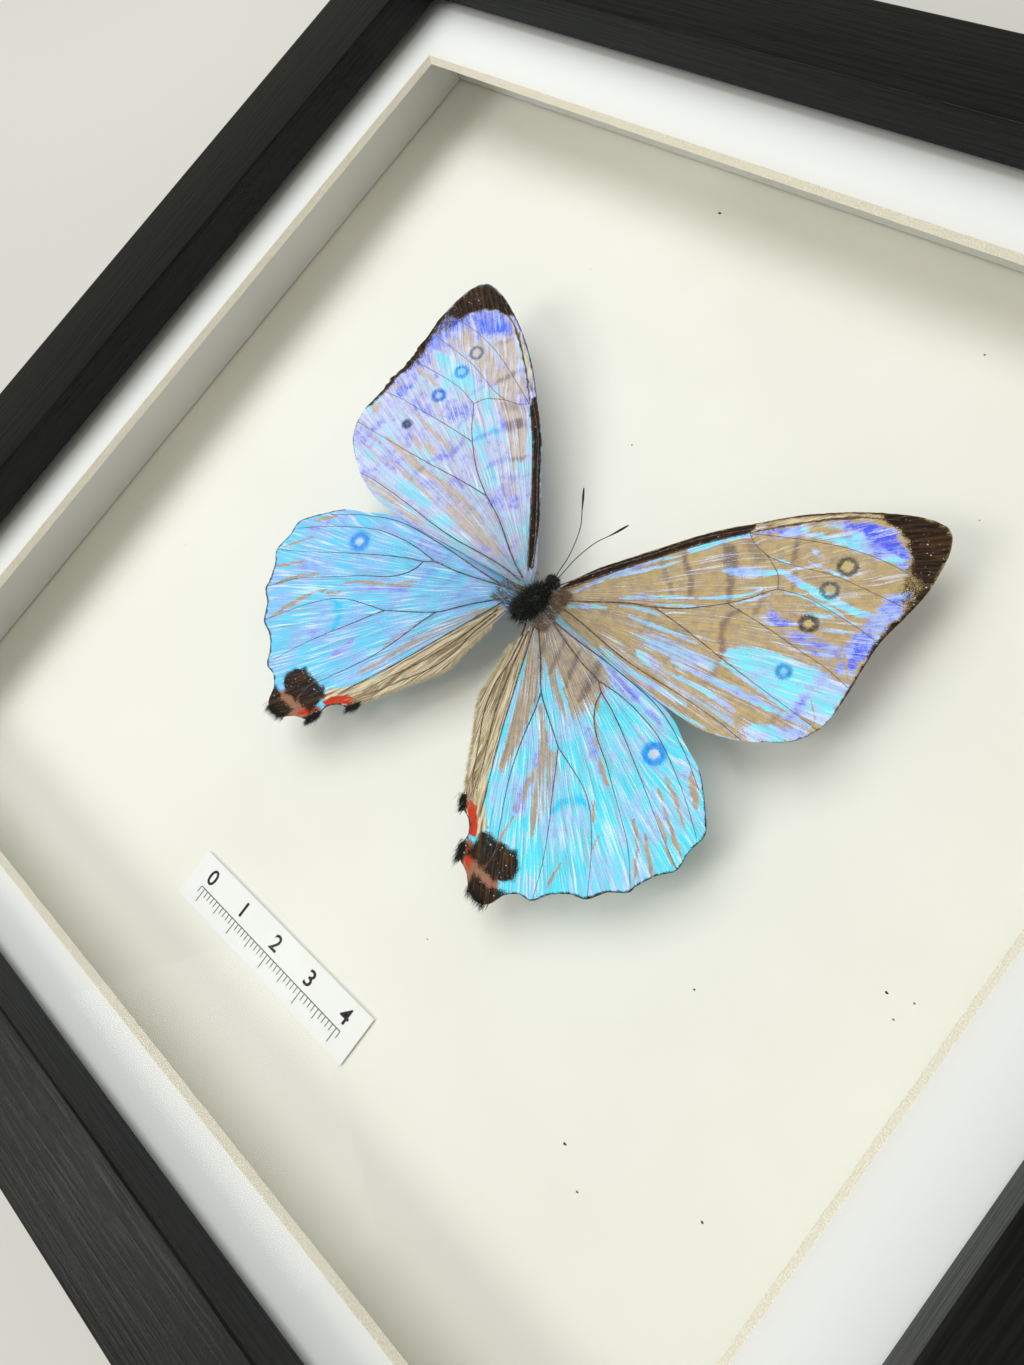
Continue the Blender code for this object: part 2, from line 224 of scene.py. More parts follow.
def grain(finish, where, size, detail=2.0, rough=0.5):
    """Noise from 0 to 1 with features of about this size, in the units of the coordinates."""
    feeds = {"Vector": where, "Scale": 1 / size, "Detail": detail, "Roughness": rough}
    return finish.node("TexNoise", None, feeds)


def step(finish, low, high, value):
    """A smooth climb from 0 at low to 1 at high."""
    feeds = {"Value": value, "From Min": low, "From Max": high}
    return finish.node("MapRange", {"interpolation_type": "SMOOTHSTEP"}, feeds)


def blend(finish, factor, first, second):
    return finish.node("Mix", {"data_type": "RGBA"}, {0: factor, 6: first, 7: second}, out=2)


def shade(finish, colour, amount):
    """A colour made lighter or darker by a number round 1."""
    feeds = {0: colour, "Scale": amount}
    return finish.node("VectorMath", {"operation": "SCALE"}, feeds)


def bump(finish, height, depth_mm):
    return finish.node("Bump", None, {"Height": height, "Distance": depth_mm * MM, "Strength": 1.0})


def mark(finish, name):
    """A number stored on the mesh's points."""
    return finish.node("Attribute", {"attribute_name": name}, out="Fac")


def two_tone(name, size, dark, light, roughness, detail=2.0):
    """A plain finish: a grain of this size in millimetres, between two colours."""
    made = Finish(name)
    tone = blend(made, grain(made, place_mm(made), size, detail), dark, light)
    made.surface(base_color=tone, roughness=roughness)
    return made


print("a mid grey of 128 is", round(ink(128, 128, 128)[0], 3), "in linear light")

# %% [markdown]
# ## Floor
# The frame lies on its back on a plain pale table top. A single large plane is enough, with a faint cloud in
# its colour, because a perfectly even white reads as empty space.

# %% Lay the floor
FLOOR_HALF = 3.0
FLOOR_DROP = 0.2 * MM


def new_object(name, points, faces, material):
    data = bpy.data.meshes.new(name)
    data.from_pydata([tuple(p) for p in points], [], faces)
    data.materials.append(material)
    made = bpy.data.objects.new(name, data)
    bpy.context.scene.collection.objects.link(made)
    return made


floor_finish = Finish("pale_table")
cloud = grain(floor_finish, place_mm(floor_finish), 300)
pale = blend(floor_finish, cloud, ink(204, 205, 200), ink(220, 221, 216))
floor_finish.surface(base_color=pale, roughness=0.6)
f = FLOOR_HALF
floor_points = [(-f, -f, -FLOOR_DROP), (f, -f, -FLOOR_DROP), (f, f, -FLOOR_DROP), (-f, f, -FLOOR_DROP)]
floor = new_object("floor", floor_points, [(0, 1, 2, 3)], floor_finish.material)
print("floor", 2 * FLOOR_HALF, "m square")

# %% [markdown]
# ## Black frame finish
# The rails are wood under a satin black coat. The grain runs along each rail and shows through the coat as fine
# pale lines, so the finish is made twice, once for each direction. A pebble of half a millimetre, like orange
# peel, catches grazing light.

# %% Mix the black coat
def black_coat(name, stretch):
    """The coat, with its grain drawn out along the axis that stretch shrinks."""
    coat = Finish(name)
    where = place_mm(coat)
    pebble = grain(coat, where, 0.55, 3.0, 0.6)
    drawn = coat.node("VectorMath", {"operation": "MULTIPLY"}, {0: where, 1: stretch})
    lines = step(coat, 0.35, 0.7, grain(coat, drawn, 0.7, 3.0, 0.6))
    tone = blend(coat, lines, ink(7, 10, 9), ink(21, 24, 22))
    relief = bump(coat, pebble * 0.7 + lines, 0.04)
    coat.surface(base_color=tone, roughness=lines * 0.14 + 0.34, normal=relief, specular_ior_level=0.2)
    return coat.material


COATS = (black_coat("black_coat_along_y", (1.0, 0.04, 1.0)), black_coat("black_coat_along_x", (0.04, 1.0, 1.0)))
print(len(COATS), "coats")

# %% [markdown]
# ## Rails
# A shadow box rail is an L in section: a broad face, a lip that holds the glass, and a deep wall behind. The
# packed rails have the right L, but their rounded edges are coarse and their mitres stand 0.3 mm apart. Here
# the same L is swept once more with finer rounding and tight mitres. A profile drawn as points and swept in
# code keeps the mitre exact, which a bevelled cube wouldn't.

# %% Sweep the four rails
RAIL_FACE = 17 * MM
RAIL_WALL = 11 * MM
LIP_DEPTH = 8 * MM
EDGE_RADIUS = 0.8 * MM
LIP_RADIUS = 0.45 * MM
MITRE_GAP = 0.01 * MM
HALF = CAD_BOX[1][0]
FRONT = CAD_BOX[1][2]


def rounded(centre, radius, start, stop, steps=7):
    """Points of an arc, with angles in quarter turns."""
    turns = np.linspace(start, stop, steps) * math.pi / 2
    return [(centre[0] + radius * math.cos(a), centre[1] + radius * math.sin(a)) for a in turns]


def rail_section():
    """The L as (distance in from the outer face, height), clockwise from the outer foot."""
    under = FRONT - LIP_DEPTH
    return [
        (0.3 * MM, 0), (0, 0.3 * MM),
        *rounded((EDGE_RADIUS, FRONT - EDGE_RADIUS), EDGE_RADIUS, 2, 1),
        *rounded((RAIL_FACE - LIP_RADIUS, FRONT - LIP_RADIUS), LIP_RADIUS, 1, 0),
        (RAIL_FACE, under), (RAIL_WALL, under), (RAIL_WALL, 0.2 * MM), (RAIL_WALL - 0.2 * MM, 0),
    ]


def smooth_by_angle(piece, degrees):
    for polygon in piece.data.polygons:
        polygon.use_smooth = True
    piece.data.set_sharp_from_angle(angle=math.radians(degrees))


def finish_piece(piece, slot, *nodes):
    """Give a piece its place in the object: what it rides on, and the solids it stands for, which are hidden. The
    slot is not used.
    """
    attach(piece, "root")
    if nodes:
        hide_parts(*nodes)
    return piece


def add_rail(name, quarter_turns):
    section = rail_section()
    count = len(section)
    points = []
    for end in (-1, 1):
        for depth, z in section:
            points.append(Vector((-HALF + depth, end * (HALF - depth - MITRE_GAP), z)))
    turned = Matrix.Rotation(quarter_turns * math.pi / 2, 3, "Z")
    faces = [tuple(range(count)), tuple(reversed(range(count, 2 * count)))]
    for i in range(count):
        j = (i + 1) % count
        faces.append((j, i, count + i, count + j))
    rail = new_object(name + "_coated", [turned @ p for p in points], faces, COATS[quarter_turns % 2])
    smooth_by_angle(rail, 40)
    return finish_piece(rail, "black_paint", name)


for turns, label in enumerate(("left", "bottom", "right", "top")):
    add_rail("rail_" + label, turns)
print("rails:", len(rail_section()), "points in the section")

# %% [markdown]
# ## Glass
# The pane is clear float glass. Real refraction would bend the view a little and cost much render time; a mix
# of a transparent and a glossy shader by Fresnel gives the same look of a thin pane. On the way out a flat
# Fresnel factor would reflect everything at low angles and turn the pane black, so rays that leave are let
# through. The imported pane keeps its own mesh.

# %% Glaze the frame
glass = Finish("thin_clear_glass")
clear = glass.node("BsdfTransparent", None, {"Color": (0.985, 0.992, 0.99, 1.0)})
gloss = glass.node("BsdfGlossy", None, {"Color": (1.0, 1.0, 1.0, 1.0), "Roughness": 0.02})
edge_on = glass.node("Fresnel", None, {"IOR": 1.12})
leaving = glass.node("NewGeometry", out="Backfacing")
pane = glass.node("MixShader", None, {0: edge_on * (1 - leaving), 1: clear, 2: gloss})
glass.feed(glass.tree.nodes["Material Output"].inputs["Surface"], pane)
glass.tree.nodes.remove(glass.shader)


def dress(node, finish):
    """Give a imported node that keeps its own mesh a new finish."""
    data = NODES[node].data
    data.materials.clear()
    data.materials.append(finish.material)


dress("glass_pane", glass)

# %% [markdown]
# ## Paper finishes
# Mat, board and label are paper at heart: matt, almost white, with a tooth of fine fibres. Two noises make the
# tooth, one round and one stretched into fibres, and a slow one lets the white drift. The same recipe serves
# all of them with its own white.


# %% A recipe for paper
def paper(name, light, dark, tooth_mm, tooth_depth, roughness=0.85):
    made = Finish(name)
    here = place_mm(made)
    tooth = grain(made, here, tooth_mm, 4.0, 0.65)
    fibres = grain(made, made.node("VectorMath", {"operation": "MULTIPLY"}, {0: here, 1: (1.0, 0.22, 1.0)}), 0.5)
    drift = grain(made, here, 38.0, 2.0)
    amount = drift * 0.6 + tooth * 0.25 + fibres * 0.15
    colour = blend(made, step(made, 0.3, 0.75, amount), dark, light)
    made.surface(base_color=colour, roughness=roughness)
    made.surface(normal=bump(made, tooth + fibres * 0.5, tooth_depth), specular_ior_level=0.25)
    return made


board_paper = paper("mount_board_paper", ink(251, 250, 243), ink(244, 243, 235), 0.35, 0.012)
strip_paper = paper("wall_strip_paper", ink(236, 237, 234), ink(226, 228, 226), 0.35, 0.012)
foam = paper("white_foam", ink(232, 232, 228), ink(205, 206, 203), 0.25, 0.05)
dress("mount_board", board_paper)
dress("specimen_riser", foam)
for side in ("left", "right", "top", "bottom"):
    dress("well_strip_" + side, strip_paper)
print("paper on", 1 + 4, "card pieces")

# %% [markdown]
# ## Mat with a bevel cut window
# The window of a mat is cut with a slanted blade, so its white face ends in a sloped cream edge, which is the
# board's core. The blade wobbles, leaves small nicks, and runs a little past one corner. The mat is built as a
# section swept round the window: many short steps along each side let the cut edge wobble in real geometry. A
# number on the points, core, is 1 on the slope, so one finish can show both papers.

# %% Cut the mat
WINDOW_LEFT = 24.6 * MM
WINDOW_RIGHT = 29.1 * MM
WINDOW_TOP = 29.6 * MM
WINDOW_BOTTOM = 25.4 * MM
WINDOW_BEVEL = 1.0 * MM
CUT_STEP = 0.8 * MM
CUT_WOBBLE = 0.07 * MM
BEVEL_ROWS = 4

mat_low, mat_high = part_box("mat_board")
window = (
    (-HALF + WINDOW_LEFT, -HALF + WINDOW_BOTTOM), (HALF - WINDOW_RIGHT, -HALF + WINDOW_BOTTOM),
    (HALF - WINDOW_RIGHT, HALF - WINDOW_TOP), (-HALF + WINDOW_LEFT, HALF - WINDOW_TOP),
)


def wobble(x, y, seed, size_mm):
    """Smooth noise from about -1 to 1 at a place in metres."""
    return noise.noise(Vector((x / MM / size_mm, y / MM / size_mm, seed)))


def mat_ring():
    """Rows of points round the window, from the outer foot over the face and down the bevel."""
    outer = [(mat_low.x, mat_low.y), (mat_high.x, mat_low.y), (mat_high.x, mat_high.y), (mat_low.x, mat_high.y)]
    rows = [[] for _ in range(3 + BEVEL_ROWS)]
    thick = mat_high.z - mat_low.z
    for side in range(4):
        near, far = window[side], window[(side + 1) % 4]
        out_near, out_far = outer[side], outer[(side + 1) % 4]
        inward = (0, 1) if side == 0 else (-1, 0) if side == 1 else (0, -1) if side == 2 else (1, 0)
        steps = int(max(abs(far[0] - near[0]), abs(far[1] - near[1])) / CUT_STEP)
        for i in range(steps):
            share = i / steps
            x = near[0] + (far[0] - near[0]) * share
            y = near[1] + (far[1] - near[1]) * share
            ox = out_near[0] + (out_far[0] - out_near[0]) * share
            oy = out_near[1] + (out_far[1] - out_near[1]) * share
            held = min(share, 1 - share) * steps / 4
            loose = CUT_WOBBLE * min(1.0, held)
            nick = max(0.0, wobble(x, y, 5.0, 1.7) - 0.35) * 3 * loose
            rows[0].append((ox, oy, mat_low.z))
            rows[1].append((ox, oy, mat_high.z))
            for row in range(BEVEL_ROWS + 1):
                down = row / BEVEL_ROWS
                corner_x = WINDOW_BEVEL * down * (1 - 2 * share) * (1 if side == 0 else -1 if side == 2 else 0)
                corner_y = WINDOW_BEVEL * down * (1 - 2 * share) * (1 if side == 1 else -1 if side == 3 else 0)
                shift = WINDOW_BEVEL * down + loose * wobble(x, y, 1.0 + row * 0.4, 2.6) - nick * (1 - down)
                px = x + inward[0] * shift + corner_x
                py = y + inward[1] * shift + corner_y
                rows[2 + row].append((px, py, mat_high.z - thick * down))
    return rows


rows = mat_ring()
around = len(rows[0])
mat_points = [p for row in rows for p in row]
mat_faces = []
for r in range(len(rows)):
    s = (r + 1) % len(rows)
    for i in range(around):
        j = (i + 1) % around
        mat_faces.append((r * around + i, r * around + j, s * around + j, s * around + i))


def store(piece, name, values):
    """Keep one number per point on the mesh, for its finish to read."""
    layer = piece.data.attributes.new(name, "FLOAT", "POINT")
    layer.data.foreach_set("value", np.asarray(values, np.float32))


mat_paper = Finish("mat_board_paper")
where = place_mm(mat_paper)
tooth = grain(mat_paper, where, 0.4, 4.0, 0.65)
core_fleck = grain(mat_paper, where, 0.22, 3.0, 0.7)
core = step(mat_paper, 0.35, 0.65, mark(mat_paper, "core"))
face_tone = blend(mat_paper, tooth, ink(246, 248, 248), ink(253, 253, 253))
core_tone = blend(mat_paper, step(mat_paper, 0.35, 0.7, core_fleck), ink(222, 213, 192), ink(250, 245, 232))
mat_bump = bump(mat_paper, tooth + core * core_fleck * 2.0, 0.02)
mat_paper.surface(base_color=blend(mat_paper, core, face_tone, core_tone), roughness=0.9, normal=mat_bump)
mat_paper.surface(specular_ior_level=0.2)
mat = new_object("mat_board_cut", mat_points, mat_faces, mat_paper.material)
cored = [0.0] * (2 * around) + [0.45] * around + [1.0] * (BEVEL_ROWS * around)
store(mat, "core", cored)
finish_piece(mat, "mat_card", "mat_board")
print("mat:", around, "steps round the window")

# %% [markdown]
# ## Label
# A specimen keeps a small card beside it. This one carries only plain numbers and a millimetre scale, so that
# it serves any specimen. The numerals come from Blender's own font turned into a mesh, and the scale's marks
# are thin raised strips, which stay crisp at any distance.

# %% Print the label
SCALE_MM = 42
LABEL_TURN = math.radians(0.5)
PRINT_RISE = 0.03 * MM
NUMERAL_SIZE = 4.4 * MM
TICK_WIDTH = 0.16 * MM

label_paper = paper("label_card_paper", ink(252, 252, 252), ink(247, 247, 248), 0.2, 0.006, 0.7)
dress("label_card", label_paper)
card_low, card_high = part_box("label_card")
card_at = (card_low + card_high) / 2
card_at.z = card_high.z + PRINT_RISE
print_ink = two_tone("black_print_ink", 0.3, ink(12, 12, 14), ink(40, 40, 43), 0.6)


def strip(x, y, width, height):
    return [(x, y, 0), (x + width, y, 0), (x + width, y + height, 0), (x, y + height, 0)]


def numeral(text, x, y):
    """A numeral centred at x with its foot at y, as points and faces."""
    letters = bpy.data.curves.new("numeral", "FONT")
    letters.body = text
    letters.size = NUMERAL_SIZE
    letters.align_x = "CENTER"
    letters.offset = 0.00006
    holder = bpy.data.objects.new("numeral", letters)
    data = bpy.data.meshes.new_from_object(holder)
    points = [(v.co.x + x, v.co.y + y, 0) for v in data.vertices]
    faces = [tuple(p.vertices) for p in data.polygons]
    bpy.data.objects.remove(holder)
    return points, faces


print_points = strip(-SCALE_MM / 2 * MM, -0.9 * MM, SCALE_MM * MM, TICK_WIDTH)
print_faces = [(0, 1, 2, 3)]
for tick in range(SCALE_MM + 1):
    long = 2.9 if tick % 10 == 1 else 2.1 if tick % 5 == 1 else 1.3
    x = (tick - SCALE_MM / 2) * MM - TICK_WIDTH / 2
    first = len(print_points)
    print_points += strip(x, (-0.9 - long) * MM, TICK_WIDTH, long * MM)
    print_faces.append((first, first + 1, first + 2, first + 3))
for number in range(5):
    points, faces = numeral(str(number), (1 + 10 * number - SCALE_MM / 2) * MM, 0.4 * MM)
    first = len(print_points)
    print_points += points
    print_faces += [tuple(first + i for i in face) for face in faces]
placed = Matrix.Translation(card_at) @ Matrix.Rotation(LABEL_TURN, 4, "Z")
print_places = [placed @ Vector(p) for p in print_points]
label_print = new_object("label_scale", print_places, print_faces, print_ink.material)
finish_piece(label_print, "label_paper")
print("scale of", SCALE_MM, "mm on a card", round((card_high - card_low).x / MM, 1), "mm wide")

# %% [markdown]
# ## Dust
# A few dark flecks lie on the white board: scale dust and lint from the specimen. Each is a tiny bent chip with
# its own outline, resting on the board. They are modelled rather than painted, so that they catch light.

# %% Drop the flecks
FLECKS = (
    (-22.5, 97.7, 0.28), (-4.9, 42.6, 0.14), (41.5, 89.4, 0.16), (88.2, -15.7, 0.2), (92.0, -14.5, 0.14),
    (91.0, -18.4, 0.16), (63.6, -66.7, 0.22), (69.3, -70.7, 0.15), (65.6, -34.2, 0.15), (86.0, -60.5, 0.17),
    (-61.0, 12.0, 0.12), (-40.0, 74.0, 0.1), (24.0, -58.0, 0.12), (-82.0, -30.0, 0.11), (58.0, 60.0, 0.1),
)
fleck_points, fleck_faces = [], []
board_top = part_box("mount_board")[1].z
for order, (x, y, radius) in enumerate(FLECKS):
    first = len(fleck_points)
    fleck_points.append((x * MM, y * MM, board_top + 0.12 * MM))
    for i in range(7):
        angle = i * math.tau / 7 + order
        reach = radius * MM * (1 + 0.45 * math.sin(3.1 * i + order))
        rise = board_top + (0.03 + 0.02 * math.sin(2.0 * i + order)) * MM
        fleck_points.append((x * MM + 1.5 * reach * math.cos(angle), y * MM + reach * math.sin(angle), rise))
        fleck_faces.append((first, first + 1 + i, first + 1 + (i + 1) % 7))
dust = two_tone("dark_dust", 0.15, ink(38, 34, 30), ink(92, 84, 74), 0.9)
flecks = new_object("dust_flecks", fleck_points, fleck_faces, dust.material)
finish_piece(flecks, "body_hair")
print(len(FLECKS), "flecks")

# %% [markdown]
# ## Back of the frame
# Behind, a frame like this has a pressed fibre panel held by bent steel tabs, with a toothed hanger screwed on.
# The panel shows short crossed fibres. The steel is rolled strip: its roughness is drawn out in one direction.

# %% Finish the back
fibre = Finish("pressed_fibre_panel")
where = place_mm(fibre)
along_fibre = fibre.node("VectorMath", {"operation": "MULTIPLY"}, {0: where, 1: (0.25, 1.6, 1.0)})
across_fibre = fibre.node("VectorMath", {"operation": "MULTIPLY"}, {0: where, 1: (1.5, 0.3, 1.0)})
long_way = grain(fibre, along_fibre, 1.1, 4.0)
cross_way = grain(fibre, across_fibre, 0.9, 4.0)
slow = grain(fibre, where, 30.0)
amount = step(fibre, 0.36, 0.66, long_way * 0.4 + cross_way * 0.35 + slow * 0.25)
fibre_tone = blend(fibre, amount, ink(92, 62, 38), ink(158, 118, 78))
fibre.surface(base_color=fibre_tone, roughness=0.75, normal=bump(fibre, long_way + cross_way, 0.06))
dress("back_panel", fibre)

steel = Finish("rolled_steel")
where = place_mm(steel)
along_steel = steel.node("VectorMath", {"operation": "MULTIPLY"}, {0: where, 1: (0.08, 3.0, 3.0)})
drawn = grain(steel, along_steel, 0.4, 3.0)
patina = grain(steel, where, 5.0, 3.0)
steel_tone = blend(steel, patina, ink(150, 150, 152), ink(196, 197, 200))
steel.surface(base_color=steel_tone, roughness=drawn * 0.25 + 0.25, metallic=1.0, normal=bump(steel, drawn, 0.008))
dress("hanger_plate", steel)
for side in ("left", "right", "top", "bottom"):
    for number in (1, 2):
        dress(f"tab_{side}_{number}", steel)
print("steel on the hanger and", 4 * 2, "tabs")

# %% [markdown]
# ## Screws
# Two pan head screws hold the hanger. Each head is a low dome with a cross recess for the driver, and the dome
# and recess are one grid of points whose height is worked out from its place, which saves a Boolean.

# %% Turn the screw heads
RECESS_HALF = 0.28 * MM
RECESS_REACH = 1.25 * MM
RECESS_DEPTH = 0.6 * MM


def add_screw(name):
    low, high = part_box(name)
    radius = (high.x - low.x) / 2
    centre = (low + high) / 2
    rings, around = 18, 64
    face_z = low.z
    rim_z = low.z + 1.2 * MM
    points = [(centre.x, centre.y, face_z + RECESS_DEPTH)]
    for ring in range(1, rings + 1):
        r = radius * ring / rings
        for i in range(around):
            angle = i * math.tau / around
            dx, dy = r * math.cos(angle), r * math.sin(angle)
            dome = (rim_z - face_z) * 0.55 * (r / radius) ** 4
            arm = min(abs(dx), abs(dy)) < RECESS_HALF and max(abs(dx), abs(dy)) < RECESS_REACH
            points.append((centre.x + dx, centre.y + dy, face_z + (RECESS_DEPTH if arm else dome)))
    for i in range(around):
        angle = i * math.tau / around
        points.append((centre.x + radius * math.cos(angle), centre.y + radius * math.sin(angle), rim_z))
    points.append((centre.x, centre.y, rim_z))
    faces = [(0, 1 + (i + 1) % around, 1 + i) for i in range(around)]
    for ring in range(rings):
        for i in range(around):
            j = (i + 1) % around
            near, far = 1 + ring * around, 1 + (ring + 1) * around
            faces.append((near + i, near + j, far + j, far + i))
    last = 1 + rings * around
    faces += [(last + i, last + (i + 1) % around, len(points) - 1) for i in range(around)]
    screw = new_object(name + "_cross_head", points, faces, steel.material)
    smooth_by_angle(screw, 35)
    return finish_piece(screw, "steel", name)


for number in (1, 2):
    add_screw(f"hanger_screw_{number}")

# %% [markdown]
# ## Where the specimen stands
# The wings are drawn flat in the specimen's own plane: u runs out from the body, v forward. Each wing then
# climbs outwards by three degrees, and the whole specimen is tipped a little. Keeping one outline for both
# sides and mirroring it is how a butterfly grows.

# %% Set the specimen's frame
SPECIMEN_AT = Vector((3.0, 3.35, 26.2)) * MM
SPECIMEN_TURN = Euler([math.radians(a) for a in (0.68, 1.51, -1.32)])
WING_RISE = math.radians(3.0)
POSE = np.array(Matrix.LocRotScale(SPECIMEN_AT, SPECIMEN_TURN, None))


def posed(points_mm):
    """Points of the specimen's own frame, in millimetres, as places in the scene."""
    points = np.asarray(points_mm, float) * MM
    return points @ POSE[:3, :3].T + POSE[:3, 3]


def on_wing(flat, height, side):
    """Wing points (u, v) lifted by a height and hinged up from the body. side is 1 right, -1 left."""
    u, v = flat[:, 0], flat[:, 1]
    x = u * math.cos(WING_RISE) - height * math.sin(WING_RISE)
    z = u * math.sin(WING_RISE) + height * math.cos(WING_RISE)
    return posed(np.column_stack([side * x, v, z]))


print("specimen stands", round((SPECIMEN_AT.z - board_top) / MM, 1), "mm above the board")

# %% [markdown]
# ## Outlines
# An outline is a list of points on the wing's edge, in millimetres. A Catmull-Rom curve passes through all of
# them, so the scallops of the hindwing stay where they are. It is resampled at an even step to get points that
# make good triangles.

# %% Draw the outlines
FOREWING = (
    (6.3, 9.8), (10.0, 15.0), (15.2, 21.6), (19.6, 27.1), (25.5, 32.8), (31.0, 38.0), (36.6, 42.2),
    (41.7, 45.2), (46.2, 47.3), (50.2, 48.3), (52.5, 47.8), (54.1, 45.5), (54.9, 42.2), (55.4, 37.8),
    (55.3, 34.2), (54.8, 29.7), (54.4, 26.0), (54.6, 22.3), (55.3, 15.7), (55.5, 12.0), (55.2, 9.1),
    (53.9, 6.1), (52.1, 4.0), (49.2, 1.9), (46.6, 0.2), (44.0, -0.9), (40.3, -2.0), (35.1, -2.3),
    (26.2, -1.9), (20.7, -1.2), (10.3, -0.2),
)
HINDWING = (
    (10.0, 0.2), (20.0, -0.2), (28.0, -1.2), (35.1, -3.1), (39.6, -5.4), (44.0, -7.5), (46.9, -10.1),
    (50.2, -13.8), (51.2, -15.7), (50.8, -19.0), (51.0, -22.6), (49.0, -25.4), (47.6, -28.6),
    (47.1, -30.4), (44.6, -32.4), (42.5, -35.5), (39.7, -36.8), (37.3, -38.9), (35.5, -41.7),
    (33.1, -42.3), (31.1, -44.2), (30.0, -47.0), (27.8, -48.1), (25.5, -47.4), (23.3, -45.6),
    (21.0, -44.7), (19.6, -43.3), (19.2, -40.4), (17.5, -38.5), (15.2, -37.5), (14.0, -35.2),
    (11.5, -31.5), (8.9, -27.1), (4.9, -20.9), (4.1, -16.7), (3.2, -10.9),
)


def smooth_line(points, spacing, closed=False):
    """A curve through all the points, resampled at an even spacing."""
    knots = np.asarray(points, float)
    if closed:
        padded = np.vstack([knots[-1], knots, knots[0], knots[1]])
    else:
        padded = np.vstack([2 * knots[0] - knots[1], knots, 2 * knots[-1] - knots[-2]])
    share = np.linspace(0, 1, 16, endpoint=False)[:, None]
    pieces = []
    for a, b, c, d in zip(padded, padded[1:], padded[2:], padded[3:]):
        pieces.append(0.5 * (2 * b + (c - a) * share + (2 * a - 5 * b + 4 * c - d) * share**2
                             + (3 * b - a - 3 * c + d) * share**3))
    fine = np.vstack([*pieces, padded[-2]])
    travelled = np.concatenate([[0], np.cumsum(np.linalg.norm(np.diff(fine, axis=0), axis=1))])
    count = max(2, int(round(travelled[-1] / spacing)))
    stops = np.linspace(0, travelled[-1], count + 1)
    even = np.column_stack([np.interp(stops, travelled, fine[:, axis]) for axis in range(fine.shape[1])])
    return even[:-1] if closed else even


print("forewing edge", len(smooth_line(FOREWING, 1.0, closed=True)), "mm round")

# %% [markdown]
# ## Veins
# Veins are the wing's struts. They fork from a few stems at the root, and each ends at the margin. Each is
# written as its path with a label at both ends; neighbouring labels differ by about one. Blending the labels
# by distance gives every point of the wing a number, across, whose lines of equal value run along the veins.
# Folds and streaks then follow the veins by themselves.

# %% Lay out the veins
VEINS_FORE = (
    (0.2, 0.5, ((3.2, 4.6), (6.9, 9.9), (10.6, 14.8), (15.6, 21.0), (20.2, 26.7), (25.9, 32.0))),
    (1.2, 1.3, ((3.6, 3.6), (8.3, 9.8), (12.0, 14.8), (16.3, 20.2), (20.8, 25.6), (25.9, 31.1))),
    (1.3, 1.6, ((25.9, 31.1), (28.5, 33.6), (31.5, 36.5), (35.0, 39.6), (39.0, 42.5), (45.0, 45.7))),
    (2.2, 2.6, ((26.0, 31.0), (30.0, 32.8), (35.0, 35.0), (40.0, 36.8), (45.0, 37.9), (50.0, 38.3), (54.6, 38.0))),
    (3.6, 3.6, ((30.8, 29.1), (34.0, 29.5), (37.5, 30.5), (42.0, 31.8), (47.0, 32.4), (54.6, 33.0))),
    (2.2, 4.6, ((26.0, 31.0), (28.2, 29.7), (30.8, 29.1), (33.0, 28.1), (34.7, 26.9), (36.0, 25.0))),
    (4.6, 4.6, ((36.0, 25.0), (38.2, 25.7), (41.0, 26.3), (45.0, 26.4), (50.0, 26.2), (54.2, 25.8))),
    (5.8, 4.8, ((3.6, 1.9), (8.0, 4.1), (12.0, 6.6), (16.0, 9.0), (20.5, 11.0), (25.0, 13.6), (28.0, 16.0),
                (30.6, 18.4), (33.0, 21.0), (34.8, 23.6), (36.0, 25.0))),
    (5.6, 5.6, ((30.6, 18.4), (35.0, 18.4), (40.0, 18.3), (45.0, 18.0), (50.0, 17.8), (54.8, 17.0))),
    (6.6, 6.6, ((20.5, 11.0), (25.0, 10.8), (30.0, 10.4), (35.0, 9.9), (40.0, 9.5), (45.0, 9.2), (55.0, 8.6))),
    (7.8, 7.8, ((3.6, 1.3), (8.0, 1.5), (12.0, 1.3), (20.0, 0.5), (26.0, 0.4), (33.0, 0.7), (42.0, 0.7),
                (46.6, 0.3))),
)
